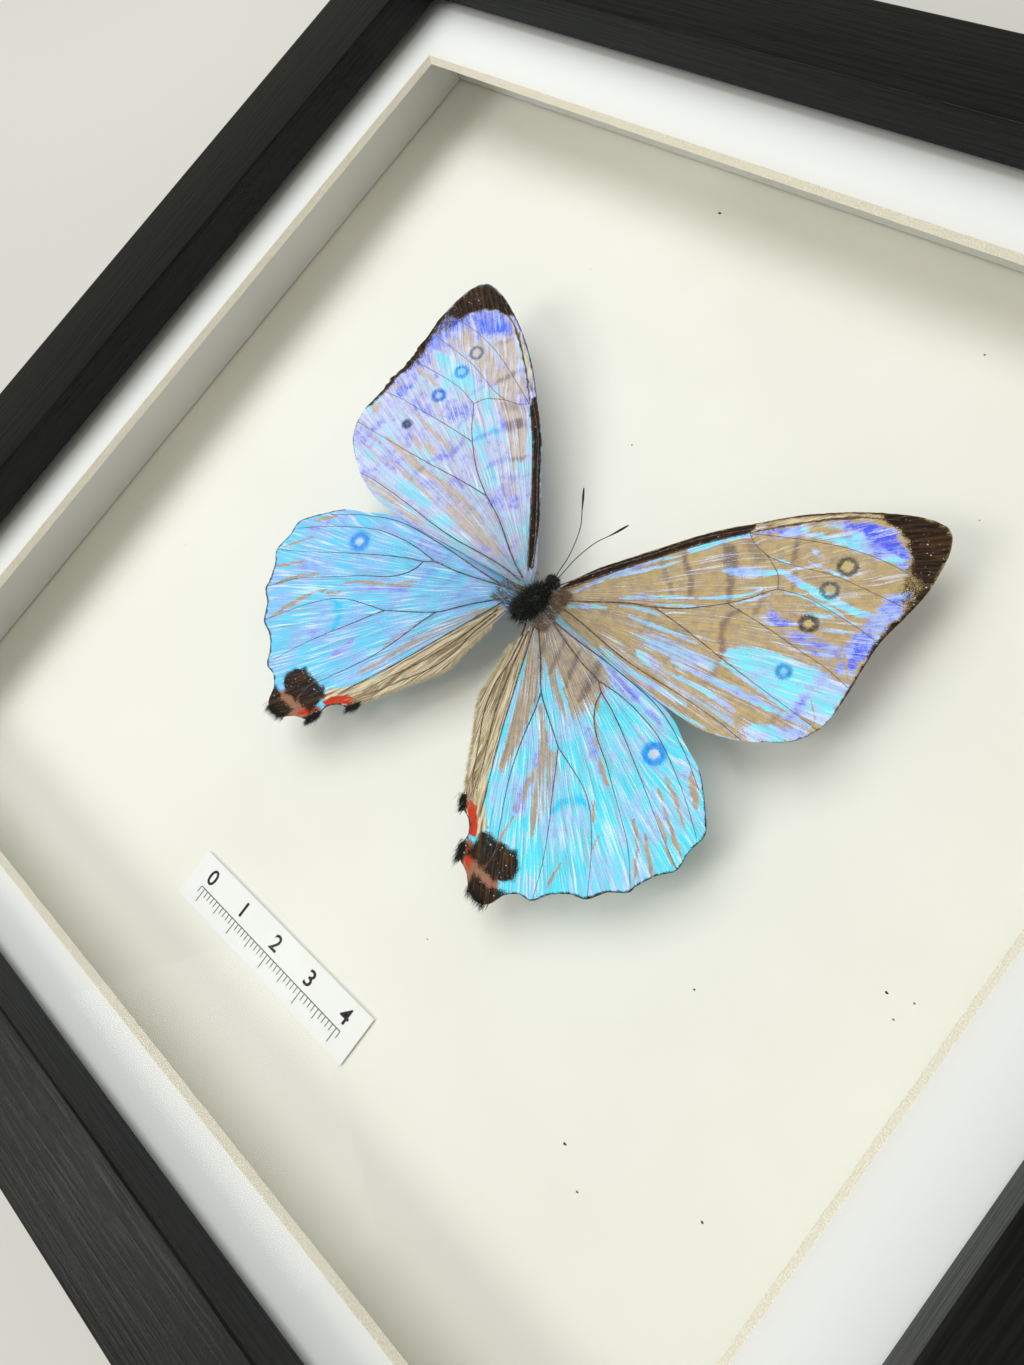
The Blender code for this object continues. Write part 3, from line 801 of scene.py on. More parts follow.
VEINS_HIND = (
    (1.0, 1.0, ((3.0, -0.6), (6.0, -1.2), (12.0, -1.6), (22.0, -1.9), (32.0, -3.0), (40.0, -6.4), (46.0, -10.2))),
    (2.0, 2.4, ((5.4, -1.1), (8.0, -2.0), (12.0, -3.3), (16.0, -4.4), (20.7, -5.3))),
    (2.2, 2.2, ((20.7, -5.3), (25.0, -5.2), (30.0, -5.7), (35.0, -7.0), (40.0, -9.5), (45.0, -12.6),
                (50.4, -16.6))),
    (3.2, 3.2, ((20.7, -5.3), (22.4, -6.6), (26.0, -8.1), (30.0, -10.2), (35.0, -13.1), (40.0, -16.1),
                (45.0, -19.2), (50.8, -22.5))),
    (3.2, 4.2, ((22.4, -6.6), (23.0, -9.0), (24.6, -11.4), (27.0, -13.5), (31.0, -16.0), (35.0, -18.9),
                (39.0, -21.8), (43.0, -25.0), (47.2, -29.8))),
    (6.0, 5.4, ((3.8, -2.6), (7.0, -5.8), (10.0, -9.0), (13.4, -12.9), (17.0, -15.4), (20.0, -17.3),
                (22.5, -18.9))),
    (5.2, 5.2, ((22.5, -18.9), (26.0, -20.0), (30.0, -21.4), (33.0, -23.2), (36.0, -26.2), (39.0, -30.0),
                (42.5, -35.3))),
    (6.2, 6.2, ((22.5, -18.9), (24.5, -22.0), (27.0, -26.0), (30.0, -30.6), (33.0, -35.8), (35.5, -41.4))),
    (7.2, 7.2, ((13.4, -12.9), (14.6, -16.0), (16.0, -21.0), (18.0, -26.6), (20.6, -31.8), (23.0, -36.0),
                (25.0, -39.5), (25.6, -43.5))),
    (8.2, 8.2, ((4.2, -4.2), (6.5, -9.5), (9.0, -15.5), (11.5, -21.5), (14.3, -27.5), (17.0, -33.0),
                (19.0, -37.0))),
    (9.2, 9.2, ((3.9, -5.4), (5.4, -11.0), (7.3, -17.0), (9.8, -23.0), (12.8, -28.6), (15.2, -33.6))),
    (10.0, 10.0, ((3.5, -6.4), (4.8, -12.0), (5.3, -17.0), (7.2, -22.4), (10.6, -28.0), (13.6, -33.0))),
)


def distance_to(flat, path, labels=None):
    """How far each point is from a path, and the label at the nearest place on it."""
    line = np.asarray(path, float)
    best = np.full(len(flat), np.inf)
    found = np.zeros(len(flat))
    lengths = np.linalg.norm(np.diff(line, axis=0), axis=1)
    begun = np.concatenate([[0], np.cumsum(lengths)]) / lengths.sum()
    for i, (a, b) in enumerate(zip(line, line[1:])):
        along = np.clip(((flat - a) @ (b - a)) / max((b - a) @ (b - a), 1e-12), 0, 1)
        far = np.linalg.norm(flat - a - along[:, None] * (b - a), axis=1)
        closer = far < best
        best[closer] = far[closer]
        if labels is not None:
            share = begun[i] + (begun[i + 1] - begun[i]) * along
            found[closer] = (labels[0] + (labels[1] - labels[0]) * share)[closer]
    return best if labels is None else (best, found)


def across_of(flat, veins):
    """The blended vein label of each point."""
    total = np.zeros(len(flat))
    weight = np.zeros(len(flat))
    for first, last, path in veins:
        far, label = distance_to(flat, path, (first, last))
        pull = 1 / (far + 0.15) ** 2
        total += pull * label
        weight += pull
    return total / weight


print(len(VEINS_FORE), "forewing veins and", len(VEINS_HIND), "hindwing veins")

# %% [markdown]
# ## The shape of the membrane
# Between its struts the dry membrane sinks and creases. A wave along the label lifts it at each vein and lets
# it sag between. The long creases are straight and spread from the root like a fan, so they use the angle round
# the root instead: noise squeezed in angle and drawn out along the way makes them. Heights stay under a quarter
# of a millimetre, so the wings keep clear of each other.


# %% Shape the membrane
ROOT = np.array((1.0, 1.0))


def noise_at(points, seed):
    """Smooth noise from about -1 to 1 at each of the given places."""
    return np.array([noise.noise(Vector((p[0], p[1], seed))) for p in points])


def membrane_height(flat, veins, lift, crease, seed):
    """Height of the wing's surface in millimetres, the fan number of each point, and its way from the root."""
    across = across_of(flat, veins)
    along = np.linalg.norm(flat - ROOT, axis=1)
    fan = np.arctan2(flat[:, 1] - ROOT[1], flat[:, 0] - ROOT[0]) * 8 + across * 0.15
    ease = np.clip(along / 22, 0.15, 1.0)
    sag = 0.07 * np.cos(math.tau * across)
    folds = noise_at(np.column_stack([fan * 4.2, along * 0.07]), seed) * 0.13
    fine = noise_at(np.column_stack([fan * 11.0, along * 0.12]), seed + 7) * 0.045
    camber = -0.25 * (along / 50) ** 2 + 0.12 * np.sin(along / 9 + seed)
    return lift + camber + ease * (sag + crease * (folds + fine)), fan, along


print("membrane relief within", 0.07 + 0.13 + 0.045, "mm")

# %% [markdown]
# ## Meshing a wing
# A wing is a flat outline filled with triangles of even size, then lifted point by point. A triangular grid
# inside the outline, joined to the edge by a constrained Delaunay step, gives even triangles right up to a
# ragged margin. The join also bridges the hollows of the scalloped edge, so triangles whose middle lies outside
# are dropped. The underside is the same sheet set a tenth of a millimetre lower, closed by a rim.

# %% Mesh a wing
WING_THICK = 0.12
TRIANGLE_SIDE = 0.29


def inside(flat, outline):
    """Which points lie inside a closed outline, by counting crossings."""
    x, y = flat[:, 0], flat[:, 1]
    hit = np.zeros(len(flat), bool)
    for (ax, ay), (bx, by) in zip(outline, np.roll(outline, -1, axis=0)):
        if ay != by:
            hit ^= ((ay > y) != (by > y)) & (x < (bx - ax) * (y - ay) / (by - ay) + ax)
    return hit


def fill_outline(outline, side):
    """Triangles of about the given side over the outline: points and faces, with the outline's points first."""
    low, high = outline.min(0), outline.max(0)
    rows = np.arange(low[1], high[1], side * math.sqrt(3) / 2)
    grid = []
    for i, v in enumerate(rows):
        u = np.arange(low[0] + (i % 2) * side / 2, high[0], side)
        grid.append(np.column_stack([u, np.full(len(u), v)]))
    grid = np.vstack(grid)
    grid = grid[inside(grid, outline)]
    closed = np.vstack([outline, outline[:1]])
    grid = grid[distance_to(grid, closed) > side * 0.55]
    points = np.vstack([outline, grid])
    edges = [(i, (i + 1) % len(outline)) for i in range(len(outline))]
    joined = geometry.delaunay_2d_cdt([Vector(p) for p in points], edges, [], 1, 1e-5, False)
    flat = np.array([tuple(p) for p in joined[0]])
    faces = np.array([tuple(face) for face in joined[2]])
    return flat, faces[inside(flat[faces].mean(axis=1), outline)]


def closed_sheet(faces, count):
    """Faces of a sheet, its underside and its rim; the underside's points follow the first count points."""
    forward = {(int(a), int(b)) for one, two, three in faces for a, b in ((one, two), (two, three), (three, one))}
    rim = [(a, b) for a, b in forward if (b, a) not in forward]
    under = [(int(c) + count, int(b) + count, int(a) + count) for a, b, c in faces]
    walls = [(b, a, a + count, b + count) for a, b in sorted(rim)]
    return [tuple(int(i) for i in face) for face in faces] + under + walls


def ragged(outline, amount, frayed):
    """The outline with a fine tremble, and a deeper fray inside the given span of v."""
    normal = np.roll(outline, -1, axis=0) - np.roll(outline, 1, axis=0)
    normal = np.column_stack([normal[:, 1], -normal[:, 0]])
    normal /= np.linalg.norm(normal, axis=1)[:, None]
    shake = noise_at(outline / 0.8, 3.0) * amount
    if frayed:
        low, high = frayed
        worn = np.clip((outline[:, 1] - low) / 2, 0, 1) * np.clip((high - outline[:, 1]) / 2, 0, 1)
        worn = worn * (outline[:, 0] > 50)
        shake -= worn * (0.2 + 1.2 * np.abs(noise_at(outline / 1.6, 9.0)))
    return outline + normal * shake[:, None]


print("triangles of", TRIANGLE_SIDE, "mm")

# %% [markdown]
# ## Painting soft strokes
# A marking is written as a brush stroke: a level, half its width, and its path in millimetres. Strokes are laid
# in order over a ground level, and their edges are pushed about by noise, so that no edge looks ruled. The
# numbers land on the mesh's points, and the finish turns them into colour.


# %% A soft brush
def smooth_fall(near, far, distance):
    share = np.clip((far - distance) / (far - near), 0, 1)
    return share * share * (3 - 2 * share)


def paint(flat, ground, strokes, shaken):
    """Lay strokes of (level, half width, path) over a ground level. A path that comes back to its first point is
    filled, and its half width is then the softness of its edge. Open strokes thin out towards both ends."""
    level = np.full(len(flat), float(ground))
    for target, half, path in strokes:
        line = np.asarray(path, float)
        pushed = flat + shaken * min(1.0, half + 0.3)
        if np.allclose(line[0], line[-1]):
            far = distance_to(pushed, line)
            signed = np.where(inside(pushed, line[:-1]), -far, far)
            cover = smooth_fall(-half, half, signed)
        else:
            far, share = distance_to(pushed, line, (0.0, 1.0))
            width = half * (0.3 + 0.7 * np.sqrt(np.clip(4 * share * (1 - share), 0, 1)))
            cover = smooth_fall(0.1, 1.6, far / width)
        level += (target - level) * cover
    return level


def filled(*path):
    """A path that comes back to its start, which the brush fills."""
    return (*path, path[0])


def edge_run(outline, start, stop):
    """The part of an outline between the points nearest to two places, as a path. Start comes before stop in
    the outline's own order."""
    ring = smooth_line(outline, 0.5, closed=True)
    first = int(np.argmin(np.linalg.norm(ring - np.array(start), axis=1)))
    last = int(np.argmin(np.linalg.norm(ring - np.array(stop), axis=1)))
    return ring[first:last + 1]


print("outer forewing edge:", len(edge_run(FOREWING, (50.2, 48.3), (55.5, 12.0))), "points")

# %% [markdown]
# ## Forewing markings
# Both forewings share their dark parts: a brown band along the front edge, a sooty tip, and thin brown bars.
# The pearl differs from side to side, because it depends on how each crease faces the light, so the sheen strokes
# paint that light in: the right wing shows bare ochre with bright painted streaks, the left is pale lilac painted
# sheen nearly all over.

# %% Forewing strokes
SOOT_FORE = (
    (1.0, 0.3, filled(*edge_run(FOREWING, (6.3, 9.8), (25.5, 32.8)), (26.2, 32.2), (25.6, 30.6), (20.7, 25.6),
                      (15.9, 19.8), (11.7, 14.2), (7.9, 9.2), (4.4, 4.3), (3.2, 4.2))),
    (1.0, 0.3, edge_run(FOREWING, (25.5, 32.8), (46.2, 47.3))),
    (0.9, 0.22, ((26.5, 31.7), (31.0, 36.1), (36.0, 40.4), (40.0, 43.2), (45.0, 45.6))),
    (1.0, 0.7, filled(*edge_run(FOREWING, (41.7, 45.2), (55.3, 34.2)), (53.6, 33.5), (52.4, 36.2), (51.2, 39.0),
                      (50.2, 41.0), (48.2, 42.9), (46.0, 43.9), (43.0, 44.2))),
    (0.55, 1.0, filled((50.8, 39.0), (54.8, 38.0), (54.6, 33.0), (52.6, 33.4))),
    (1.0, 0.85, edge_run(FOREWING, (55.4, 37.8), (54.6, 22.3))),
    (1.0, 0.4, edge_run(FOREWING, (54.4, 26.0), (55.5, 12.0))),
    (0.75, 0.16, edge_run(FOREWING, (55.5, 12.0), (49.2, 1.9))),
)
SOOT_FORE_WORN = (
    *SOOT_FORE,
    (1.0, 1.7, edge_run(FOREWING, (55.3, 34.2), (54.6, 22.3))),
    (0.9, 0.9, edge_run(FOREWING, (54.6, 22.3), (55.5, 12.0))),
)
PALE_FORE = (
    (1.0, 0.5, ((27.2, 33.4), (32.0, 37.8), (37.0, 41.3), (41.8, 44.1))),
)
BARS_FORE = (
    (0.9, 0.6, ((18.8, 22.4), (19.6, 20.8), (22.5, 19.0), (24.2, 16.4), (24.4, 15.0))),
    (0.6, 0.5, ((16.0, 19.3), (16.8, 18.0), (19.5, 16.3), (22.3, 14.2))),
    (1.0, 0.5, filled((23.2, 27.2), (25.2, 28.0), (28.0, 25.0), (27.4, 22.8), (25.4, 24.2))),
    (0.9, 0.7, ((26.9, 24.4), (28.6, 22.0), (30.2, 19.5), (30.6, 18.6))),
    (0.55, 1.1, ((25.4, 29.8), (28.4, 29.0), (31.0, 27.8))),
    (0.85, 0.65, ((31.6, 37.0), (32.6, 35.6), (33.6, 33.8), (34.6, 31.8), (35.2, 30.0))),
    (0.6, 0.5, ((36.0, 30.0), (37.0, 28.3), (38.0, 26.0))),
    (0.7, 0.5, ((34.0, 23.8), (35.0, 22.0), (35.4, 18.8))),
    (0.85, 0.65, ((33.0, 18.6), (32.2, 17.0), (32.3, 14.8), (33.6, 12.6), (35.0, 11.2), (35.8, 9.8))),
    (0.5, 0.6, ((35.4, 9.2), (36.3, 6.8), (36.2, 4.2))),
    (0.55, 0.6, ((38.3, 40.8), (39.2, 39.4), (40.8, 38.0))),
    (0.4, 0.35, ((48.6, 8.4), (48.8, 5.2))),
    (0.35, 0.45, ((20.4, 10.6), (21.2, 8.2), (21.4, 5.6))),
)
# Painted sheen of the right forewing: each stroke sets how far the pearl covers the ochre there.
SHEEN_FORE_RIGHT = (
    (1.0, 0.32, ((6.3, 4.8), (8.0, 8.0), (10.0, 11.3), (13.0, 15.3), (15.5, 18.5), (18.5, 21.3))),
    (1.0, 0.75, ((19.0, 22.4), (21.0, 25.2), (23.2, 28.0), (25.0, 30.0), (26.5, 30.8))),
    (0.8, 0.25, ((10.5, 11.3), (14.0, 15.0), (17.0, 18.0), (19.5, 21.0))),
    (0.85, 0.9, filled((26.6, 31.4), (31.5, 36.0), (34.0, 37.0), (33.0, 34.4), (30.0, 33.2))),
    (0.9, 0.8, filled((33.6, 35.6), (38.0, 38.0), (42.5, 40.0), (47.0, 41.0), (50.6, 39.4), (50.4, 38.5),
                      (45.0, 38.0), (40.0, 37.0))),
    (0.8, 0.9, filled((35.0, 38.4), (38.4, 41.4), (42.0, 43.4), (46.0, 43.4), (49.4, 41.4), (50.6, 39.2),
                      (44.0, 39.6), (39.0, 39.2))),
    (0.8, 0.3, ((37.0, 31.7), (41.0, 32.2), (44.5, 32.6))),
    (0.75, 0.25, ((31.0, 29.2), (35.0, 29.8), (38.5, 30.6))),
    (0.55, 0.6, ((36.0, 34.0), (39.0, 33.6))),
    (1.0, 0.8, ((26.6, 22.9), (29.0, 24.2), (32.0, 26.0), (34.4, 27.4))),
    (1.0, 0.75, ((34.0, 28.0), (39.0, 27.7), (44.0, 27.9), (49.0, 28.4), (53.5, 29.5))),
    (0.75, 1.0, filled((50.5, 33.0), (53.8, 35.6), (54.4, 30.0), (54.0, 24.0), (54.4, 18.0), (51.4, 18.0),
                       (50.4, 24.0), (51.0, 29.0))),
    (0.8, 0.3, ((36.5, 25.0), (40.0, 26.0), (45.0, 26.6), (50.0, 26.6))),
    (0.7, 0.25, ((42.0, 23.6), (46.0, 25.6))),
    (0.7, 0.25, ((45.5, 22.6), (50.5, 25.4))),
    (0.7, 0.22, ((51.5, 33.5), (53.5, 36.0))),
    (0.58, 0.9, filled((36.6, 21.6), (41.0, 21.2), (45.6, 21.6), (50.4, 22.4), (50.4, 18.7), (43.0, 18.9),
                       (37.2, 19.2))),
    (1.0, 0.3, ((14.0, 8.9), (18.0, 11.6), (22.0, 14.3), (25.5, 16.2))),
    (1.0, 0.32, ((26.0, 16.5), (29.0, 18.6), (31.5, 20.6), (34.0, 23.5))),
    (0.9, 0.25, ((20.0, 11.3), (24.0, 13.6), (28.0, 15.6))),
    (0.9, 0.2, ((31.5, 18.6), (33.5, 21.0), (35.6, 23.8))),
    (1.0, 0.4, ((7.0, 2.3), (10.0, 4.2), (13.5, 6.3))),
    (1.0, 0.35, ((15.0, 7.7), (18.0, 9.2), (22.5, 10.3))),
    (1.0, 0.4, ((17.5, 7.0), (22.0, 8.0), (27.0, 9.2), (31.0, 9.7))),
    (0.72, 1.0, filled((20.4, 5.0), (25.0, 7.4), (31.0, 8.4), (36.0, 8.8), (36.0, 7.4), (30.0, 5.4), (25.0, 4.4))),
    (1.0, 0.6, ((29.0, 4.7), (35.0, 5.5), (41.0, 6.5), (48.0, 7.5), (53.0, 8.2))),
    (1.0, 0.5, ((36.0, 9.2), (42.0, 9.2), (48.0, 8.8), (54.0, 8.3))),
    (0.95, 0.85, ((23.0, 2.8), (29.0, 2.2), (35.0, 1.7), (43.0, 1.5))),
    (1.0, 0.45, ((30.0, 2.9), (37.0, 3.6), (43.0, 3.6))),
    (0.85, 0.9, filled((45.6, 1.4), (47.0, 4.4), (50.0, 5.8), (53.4, 7.8), (54.6, 6.6), (51.8, 3.6), (48.2, 1.4))),
    (0.5, 0.7, filled((22.5, 3.6), (28.0, 3.2), (36.0, 2.6), (43.0, 3.0), (44.5, 1.0), (34.0, 1.2), (24.0, 1.6))),
    (1.0, 0.55, ((17.0, -0.2), (23.0, -0.8), (29.0, -0.6), (36.0, 0.1))),
    (1.0, 0.3, ((26.0, -2.0), (33.0, -2.2), (38.0, -1.8), (41.0, -1.2))),
    (1.0, 0.25, ((42.5, -1.3), (45.0, -0.6), (46.3, 0.2))),
    (0.95, 0.9, filled((35.4, 11.8), (37.6, 13.6), (41.0, 15.2), (46.0, 16.8), (54.8, 17.2), (55.4, 9.4),
                       (46.0, 9.5), (38.0, 9.9), (36.0, 10.4))),
    (0.0, 0.35, ((39.0, 15.3), (45.0, 16.4), (49.0, 17.3))),
    (0.1, 0.25, ((51.0, 21.5), (54.0, 18.0))),
    (0.1, 0.2, ((51.5, 12.0), (54.0, 9.5))),
    (0.1, 0.22, ((45.0, 2.6), (46.8, 1.0))),
)
# Hue of that painted sheen, from cyan through pale to violet.
HUE_FORE_RIGHT = (
    (0.05, 3.4, ((38.0, 13.2), (52.0, 13.6))),
    (1.0, 2.4, ((36.0, 40.0), (41.0, 42.4), (47.0, 42.0), (51.0, 39.0), (52.6, 34.0), (52.8, 28.0), (52.6, 21.0))),
    (0.6, 1.6, ((27.5, 31.8), (32.5, 35.4))),
    (0.45, 1.4, ((37.0, 37.2), (49.0, 39.5))),
    (0.8, 1.9, ((38.0, 20.4), (50.0, 20.6))),
    (0.7, 1.3, ((50.4, 8.0), (50.9, 22.0), (50.4, 40.0))),
    (0.5, 2.0, ((36.5, 14.0), (36.8, 10.5))),
    (0.75, 1.5, ((53.4, 20.0), (53.6, 36.0))),
    (0.7, 0.6, ((23.0, 26.5), (24.5, 28.0))),
    (0.7, 0.7, ((7.0, 4.5), (10.0, 11.5), (18.0, 20.5))),
)
# Painted sheen of the left forewing: pale lilac sheen nearly all over, with bare strokes laid as low levels.
SHEEN_FORE_LEFT = (
    (0.2, 1.8, filled((20.0, 18.6), (19.4, 21.6), (22.5, 26.0), (27.0, 29.8), (31.5, 29.6), (33.4, 28.2),
                      (29.6, 26.2), (26.0, 23.2), (23.4, 20.6))),
    (0.22, 1.8, filled((27.6, 32.4), (33.0, 36.6), (37.5, 40.0), (41.0, 40.0), (41.0, 37.6), (35.6, 35.4),
                       (36.0, 34.0), (41.0, 36.4), (49.5, 37.4), (49.6, 33.4), (42.0, 32.2), (36.0, 30.8),
                       (30.5, 29.8))),
    (0.45, 1.2, ((16.5, 13.5), (19.5, 16.5))),
    (0.15, 0.9, ((17.0, 6.0), (24.0, 7.4), (30.0, 8.3), (36.0, 8.0), (47.0, 9.4))),
    (0.25, 1.5, ((10.0, 3.4), (18.0, 4.2), (26.0, 4.9))),
    (0.15, 0.55, ((33.5, 14.6), (39.0, 15.7), (48.0, 17.3))),
    (0.35, 1.2, ((35.5, 12.6), (42.0, 11.6))),
    (0.1, 0.55, ((44.0, 24.0), (49.0, 24.6), (53.0, 25.4))),
    (0.15, 0.7, ((27.0, -1.0), (36.0, -0.4), (45.0, 0.1))),
    (0.2, 0.35, ((28.0, 4.0), (36.0, 5.4), (45.0, 5.6))),
    (1.0, 0.75, ((5.2, 3.6), (7.5, 8.0), (10.5, 11.8))),
    (0.9, 0.55, ((11.0, 12.5), (15.5, 18.5), (19.0, 22.5), (22.5, 27.2), (25.5, 30.2))),
    (1.0, 0.85, ((14.0, 8.8), (19.0, 12.0), (24.0, 15.6), (28.5, 18.6), (32.0, 21.8))),
    (1.0, 1.1, ((26.0, 21.6), (29.5, 24.2), (34.3, 27.4))),
    (0.95, 0.9, ((34.0, 28.2), (39.0, 28.9), (45.0, 29.4), (52.0, 29.8))),
    (1.0, 0.55, ((4.8, 2.2), (8.0, 3.3), (12.0, 5.2))),
    (1.0, 0.9, ((22.0, 2.5), (28.0, 2.7), (36.0, 2.4), (44.0, 3.3))),
    (1.0, 0.5, ((34.0, 6.4), (41.0, 7.4), (49.0, 8.6))),
    (0.95, 0.45, ((24.0, 9.2), (31.0, 9.2), (36.0, 8.9))),
    (1.0, 0.45, ((8.0, 0.6), (20.0, -0.2), (34.0, 0.0))),
    (0.9, 0.3, ((30.0, -1.9), (38.0, -1.7), (44.0, -0.6))),
    (0.05, 0.25, ((52.0, 20.5), (54.0, 18.8))),
    (0.2, 0.9, ((53.4, 12.0), (53.6, 15.0))),
)
HUE_FORE_LEFT = (
    (1.0, 3.0, ((40.0, 41.6), (47.5, 41.0), (51.6, 37.0), (52.6, 31.0), (52.8, 25.0))),
    (0.7, 1.3, ((50.4, 8.0), (50.9, 18.0), (50.6, 30.0))),
    (0.15, 1.2, ((5.5, 4.0), (9.5, 10.5))),
    (0.15, 1.3, ((22.0, 14.0), (32.0, 21.4))),
    (0.15, 1.6, ((27.0, 22.0), (34.0, 27.2), (50.0, 29.6))),
    (0.15, 1.3, ((22.0, 2.6), (44.0, 3.4))),
    (0.2, 0.9, ((8.0, 0.5), (34.0, 0.0))),
)
print("forewing strokes:", len(SHEEN_FORE_RIGHT) + len(SHEEN_FORE_LEFT))

# %% [markdown]
# ## Hindwing markings
# The hindwings are brighter: their painted sheen is cyan on the right, sky blue on the left, with a few bare brown
# creases. Both have a cream hairy fold beside the body, a fine black margin, and black, red and clay coloured
# spots on the lobe at the hind corner.

# %% Hindwing strokes
SOOT_HIND = (
    (0.9, 0.26, edge_run(HINDWING, (44.0, -7.5), (51.0, -22.6))),
    (1.0, 0.34, edge_run(HINDWING, (50.8, -19.0), (30.0, -47.0))),
    (1.0, 0.7, filled((20.8, -38.8), (22.8, -37.8), (25.0, -38.3), (25.8, -41.4), (24.6, -43.3), (21.2, -43.2))),
    (1.0, 0.7, filled((24.8, -38.0), (28.2, -37.0), (30.4, -39.0), (30.8, -41.4), (28.2, -43.6), (25.4, -43.4))),
    (1.0, 0.8, filled((24.4, -44.8), (27.8, -44.8), (31.2, -43.4), (31.6, -46.0), (29.2, -48.9), (24.8, -48.3))),
    (0.95, 0.36, edge_run(HINDWING, (21.0, -44.7), (14.0, -35.2))),
    (0.9, 0.5, filled((19.2, -41.8), (20.6, -41.8), (22.0, -45.8), (20.4, -45.2))),
)
CLAY_HIND = (
    (1.0, 0.7, filled((19.6, -41.0), (25.0, -41.6), (28.6, -42.8), (30.2, -44.4), (30.4, -48.0), (27.6, -49.0),
                      (24.8, -48.2), (21.4, -46.0), (19.2, -44.6))),
)
RED_HIND = (
    (1.0, 0.4, filled((15.4, -35.6), (17.2, -35.9), (19.8, -38.4), (20.6, -40.4), (19.4, -40.2), (17.6, -38.2),
                      (15.4, -37.0))),
    (1.0, 0.4, filled((20.4, -41.6), (22.4, -42.5), (23.6, -45.2), (21.6, -44.3))),
)
CREAM_HIND = (
    (1.0, 0.5, filled((2.4, -4.6), (4.4, -4.6), (7.2, -11.4), (10.0, -18.0), (12.8, -24.5), (15.4, -30.4),
                      (17.8, -34.0), (21.4, -37.6), (21.0, -39.6), (18.2, -40.8), (13.2, -37.6), (8.0, -29.0),
                      (3.4, -21.6), (2.4, -12.0))),
)
# Painted sheen: a stripe of bright saturated cyan on the hindwing.
CYAN_SHEEN_HIND = (
    (1.0, 0.9, ((34.6, -22.9), (31.3, -23.7), (29.2, -25.8), (28.6, -28.6))),
)
BARS_HIND = (
    (0.8, 0.5, ((10.8, -2.6), (12.6, -9.8))),
    (0.8, 0.6, ((14.3, -2.8), (16.6, -10.0))),
    (0.95, 0.9, ((18.4, -1.6), (19.6, -5.6), (20.2, -10.0))),
    (0.35, 0.8, ((27.2, -2.0), (27.2, -9.0))),
    (0.7, 0.5, ((7.4, -4.0), (9.0, -8.4))),
)
# Painted sheen of the right hindwing, with bare brown creases laid as low levels.
SHEEN_HIND_RIGHT = (
    (0.05, 2.4, filled((2.6, -0.4), (9.0, -1.2), (16.0, -1.4), (20.4, -2.0), (22.6, -5.0), (22.6, -9.6),
                       (21.0, -14.0), (17.6, -12.6), (13.6, -10.4), (10.2, -10.2), (5.6, -6.6), (2.6, -3.8))),
    (0.08, 0.7, filled((5.6, -6.6), (9.6, -9.6), (13.2, -13.4), (14.6, -17.2), (16.2, -23.0), (17.4, -28.6),
                       (15.6, -28.0), (12.4, -21.5), (9.4, -15.0))),
    (0.1, 0.9, ((14.6, -14.8), (18.5, -18.4), (21.5, -21.5), (23.5, -25.0), (26.0, -29.5), (28.6, -33.5))),
    (0.42, 1.4, ((22.0, -20.0), (25.6, -26.0), (28.0, -31.0))),
    (0.3, 0.7, ((21.6, -23.0), (22.5, -28.0), (23.4, -32.0))),
    (1.0, 0.5, ((7.2, -10.5), (9.8, -15.6), (12.2, -21.2), (14.8, -26.8), (17.0, -30.6))),
    (1.0, 0.3, ((9.6, -7.6), (13.0, -10.8), (16.0, -13.2), (19.5, -15.8))),
    (1.0, 0.4, ((13.0, -8.0), (16.5, -10.6), (20.5, -13.4), (24.0, -16.6))),
    (0.9, 0.35, ((17.0, -1.9), (23.0, -2.4), (30.0, -3.6))),
    (0.0, 0.3, ((40.5, -12.0), (44.0, -13.8), (48.0, -16.5))),
    (0.0, 0.36, ((40.5, -14.0), (45.0, -17.0), (49.0, -20.0))),
    (0.0, 0.3, ((43.0, -17.5), (47.0, -20.2), (50.2, -22.6))),
    (0.0, 0.32, ((40.5, -20.5), (44.0, -23.8), (47.0, -28.5))),
    (0.0, 0.3, ((43.4, -21.2), (47.0, -24.5), (49.0, -26.4))),
    (0.0, 0.22, ((46.5, -18.0), (50.5, -20.6))),
    (0.0, 0.6, ((43.2, -8.6), (45.4, -10.8), (47.6, -12.8))),
    (0.0, 0.3, ((22.7, -7.5), (24.3, -11.0), (28.3, -14.8))),
    (0.2, 0.4, ((29.5, -16.0), (33.6, -18.8))),
    (0.0, 0.36, ((33.4, -22.3), (35.6, -25.2))),
    (0.0, 0.18, ((37.6, -26.0), (38.2, -28.8))),
    (0.1, 0.22, ((35.4, -33.5), (36.1, -38.5))),
    (0.15, 0.3, ((23.8, -33.0), (24.5, -37.6))),
    (0.35, 0.22, ((27.2, -20.4), (32.8, -22.7))),
)
HUE_HIND_RIGHT = (
    (0.85, 1.5, ((20.6, -21.0), (22.0, -27.0), (24.0, -33.0))),
    (0.7, 0.9, ((24.0, -13.0), (29.0, -16.5), (34.0, -19.5))),
    (0.55, 1.5, ((40.0, -14.0), (44.0, -18.0), (46.0, -21.0))),
    (0.8, 0.9, ((17.0, -1.6), (24.0, -3.4), (34.0, -5.0))),
    (0.5, 1.4, ((33.5, -8.5), (34.0, -12.0))),
    (0.4, 2.2, ((32.0, -33.0), (36.0, -30.0), (41.0, -29.0))),
    (0.45, 1.6, ((28.0, -34.0), (27.0, -38.0))),
)
